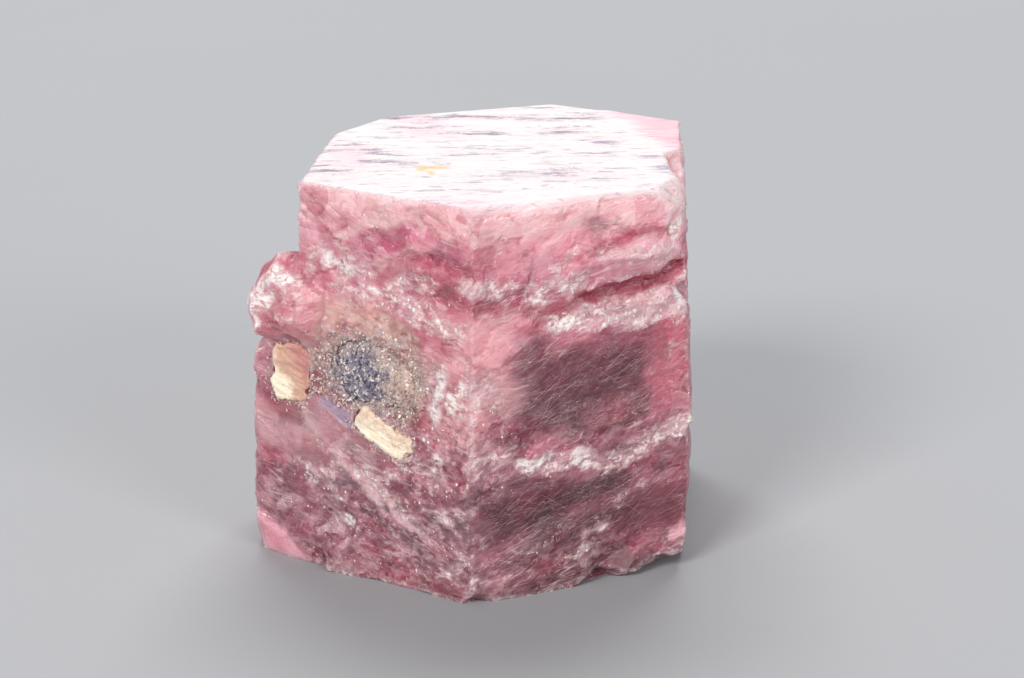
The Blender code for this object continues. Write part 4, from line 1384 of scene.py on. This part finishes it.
# %% Ride
def to_metres(made):
    made.data.transform(Matrix.Scale(MM, 4))
    made.data.update()


pieces = ((ruby, "ruby_crystal", "ruby"), (mica, "mica_patch", "mica"),
          (flakes[0], "calcite_side", "calcite"), (flakes[1], "calcite_low", "calcite"))
for piece, node, slot in pieces + ((crumbs, None, "ruby"),):
    to_metres(piece)
    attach(piece, "root")
    if node:
        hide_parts(node)
    print(piece.name, triangles(piece.data), "triangles")

# %% [markdown]
# ## The floor
#
# The stone stands on a plain pale floor. It is dull, with only a trace of variation, so that nothing on
# it draws the eye and the stone's soft shadow reads well.

# %% Floor
# Half the floor's width, in metres.
FLOOR_HALF = 1.2

corners = [(x * FLOOR_HALF, y * FLOOR_HALF, 0) for x, y in ((-1, -1), (1, -1), (1, 1), (-1, 1))]
floor_mesh = bpy.data.meshes.new("floor")
floor_mesh.from_pydata(corners, [], [(0, 1, 2, 3)])
floor = add_object("floor", floor_mesh)
f = Finish("pale floor")
f.colour = f.mix(linear(164, 165, 168), linear(158, 159, 162), f.noise(0.02, 2.0))
f.finish(f.between(0.85, 0.95, f.noise(0.3, 3.0)), None, (("Specular IOR Level", 0.15),))
dress(floor, f)

# %% [markdown]
# ## The lights
#
# A large soft light hangs behind and above the stone, so that the flat top shines and light comes through
# the thin edges. Two weaker ones fill the front, and a faint pale world fills the rest.

# %% Lights
def soft_light(name, place_mm, aim_mm, width_mm, height_mm, watts, tone=(1, 1, 1)):
    lamp = bpy.data.lights.new(name, "AREA")
    lamp.shape = "RECTANGLE"
    lamp.size, lamp.size_y = width_mm * MM, height_mm * MM
    lamp.energy = watts
    lamp.color = tone
    made = add_object(name, lamp)
    made.location = Vector(place_mm) * MM
    made.rotation_euler = (Vector(aim_mm) - Vector(place_mm)).to_track_quat("-Z", "Y").to_euler()


soft_light("back softbox", (0, 330, 470), (0, 0, 4), 420, 260, 3.2)
soft_light("key", (-260, -420, 330), (0, 0, 3), 190, 190, 2.6, (1.0, 0.98, 0.96))
soft_light("fill", (330, -400, 200), (0, 0, 3), 220, 220, 1.2)
world = bpy.data.worlds.new("studio")
world.use_nodes = True
background = world.node_tree.nodes["Background"]
background.inputs["Color"].default_value = (0.85, 0.87, 0.90, 1)
background.inputs["Strength"].default_value = 0.30
bpy.context.scene.world = world
bpy.context.scene.view_settings.view_transform = "Standard"

# %% [markdown]
# ## The camera
#
# The camera stands 44 mm away with a long lens, so the prism's edges stay nearly parallel. It looks down
# by about 16 degrees, which shows the whole top, foreshortened, and both front faces in full.

# %% Camera
LENS = 85.18
EYE = Vector((0.002, -42.37, 15.85))
AIM = Vector((0.002, -0.16, 3.425))
SHIFT = (0.03125, -0.00195)

lens = bpy.data.cameras.new("camera")
lens.lens = LENS
lens.shift_x, lens.shift_y = SHIFT
lens.clip_start, lens.clip_end = 0.001, 5.0
camera = add_object("camera", lens)
camera.location = EYE * MM
camera.rotation_euler = (AIM - EYE).to_track_quat("-Z", "Y").to_euler()
bpy.context.scene.camera = camera
print("camera is", round((EYE - AIM).length, 1), "mm away")
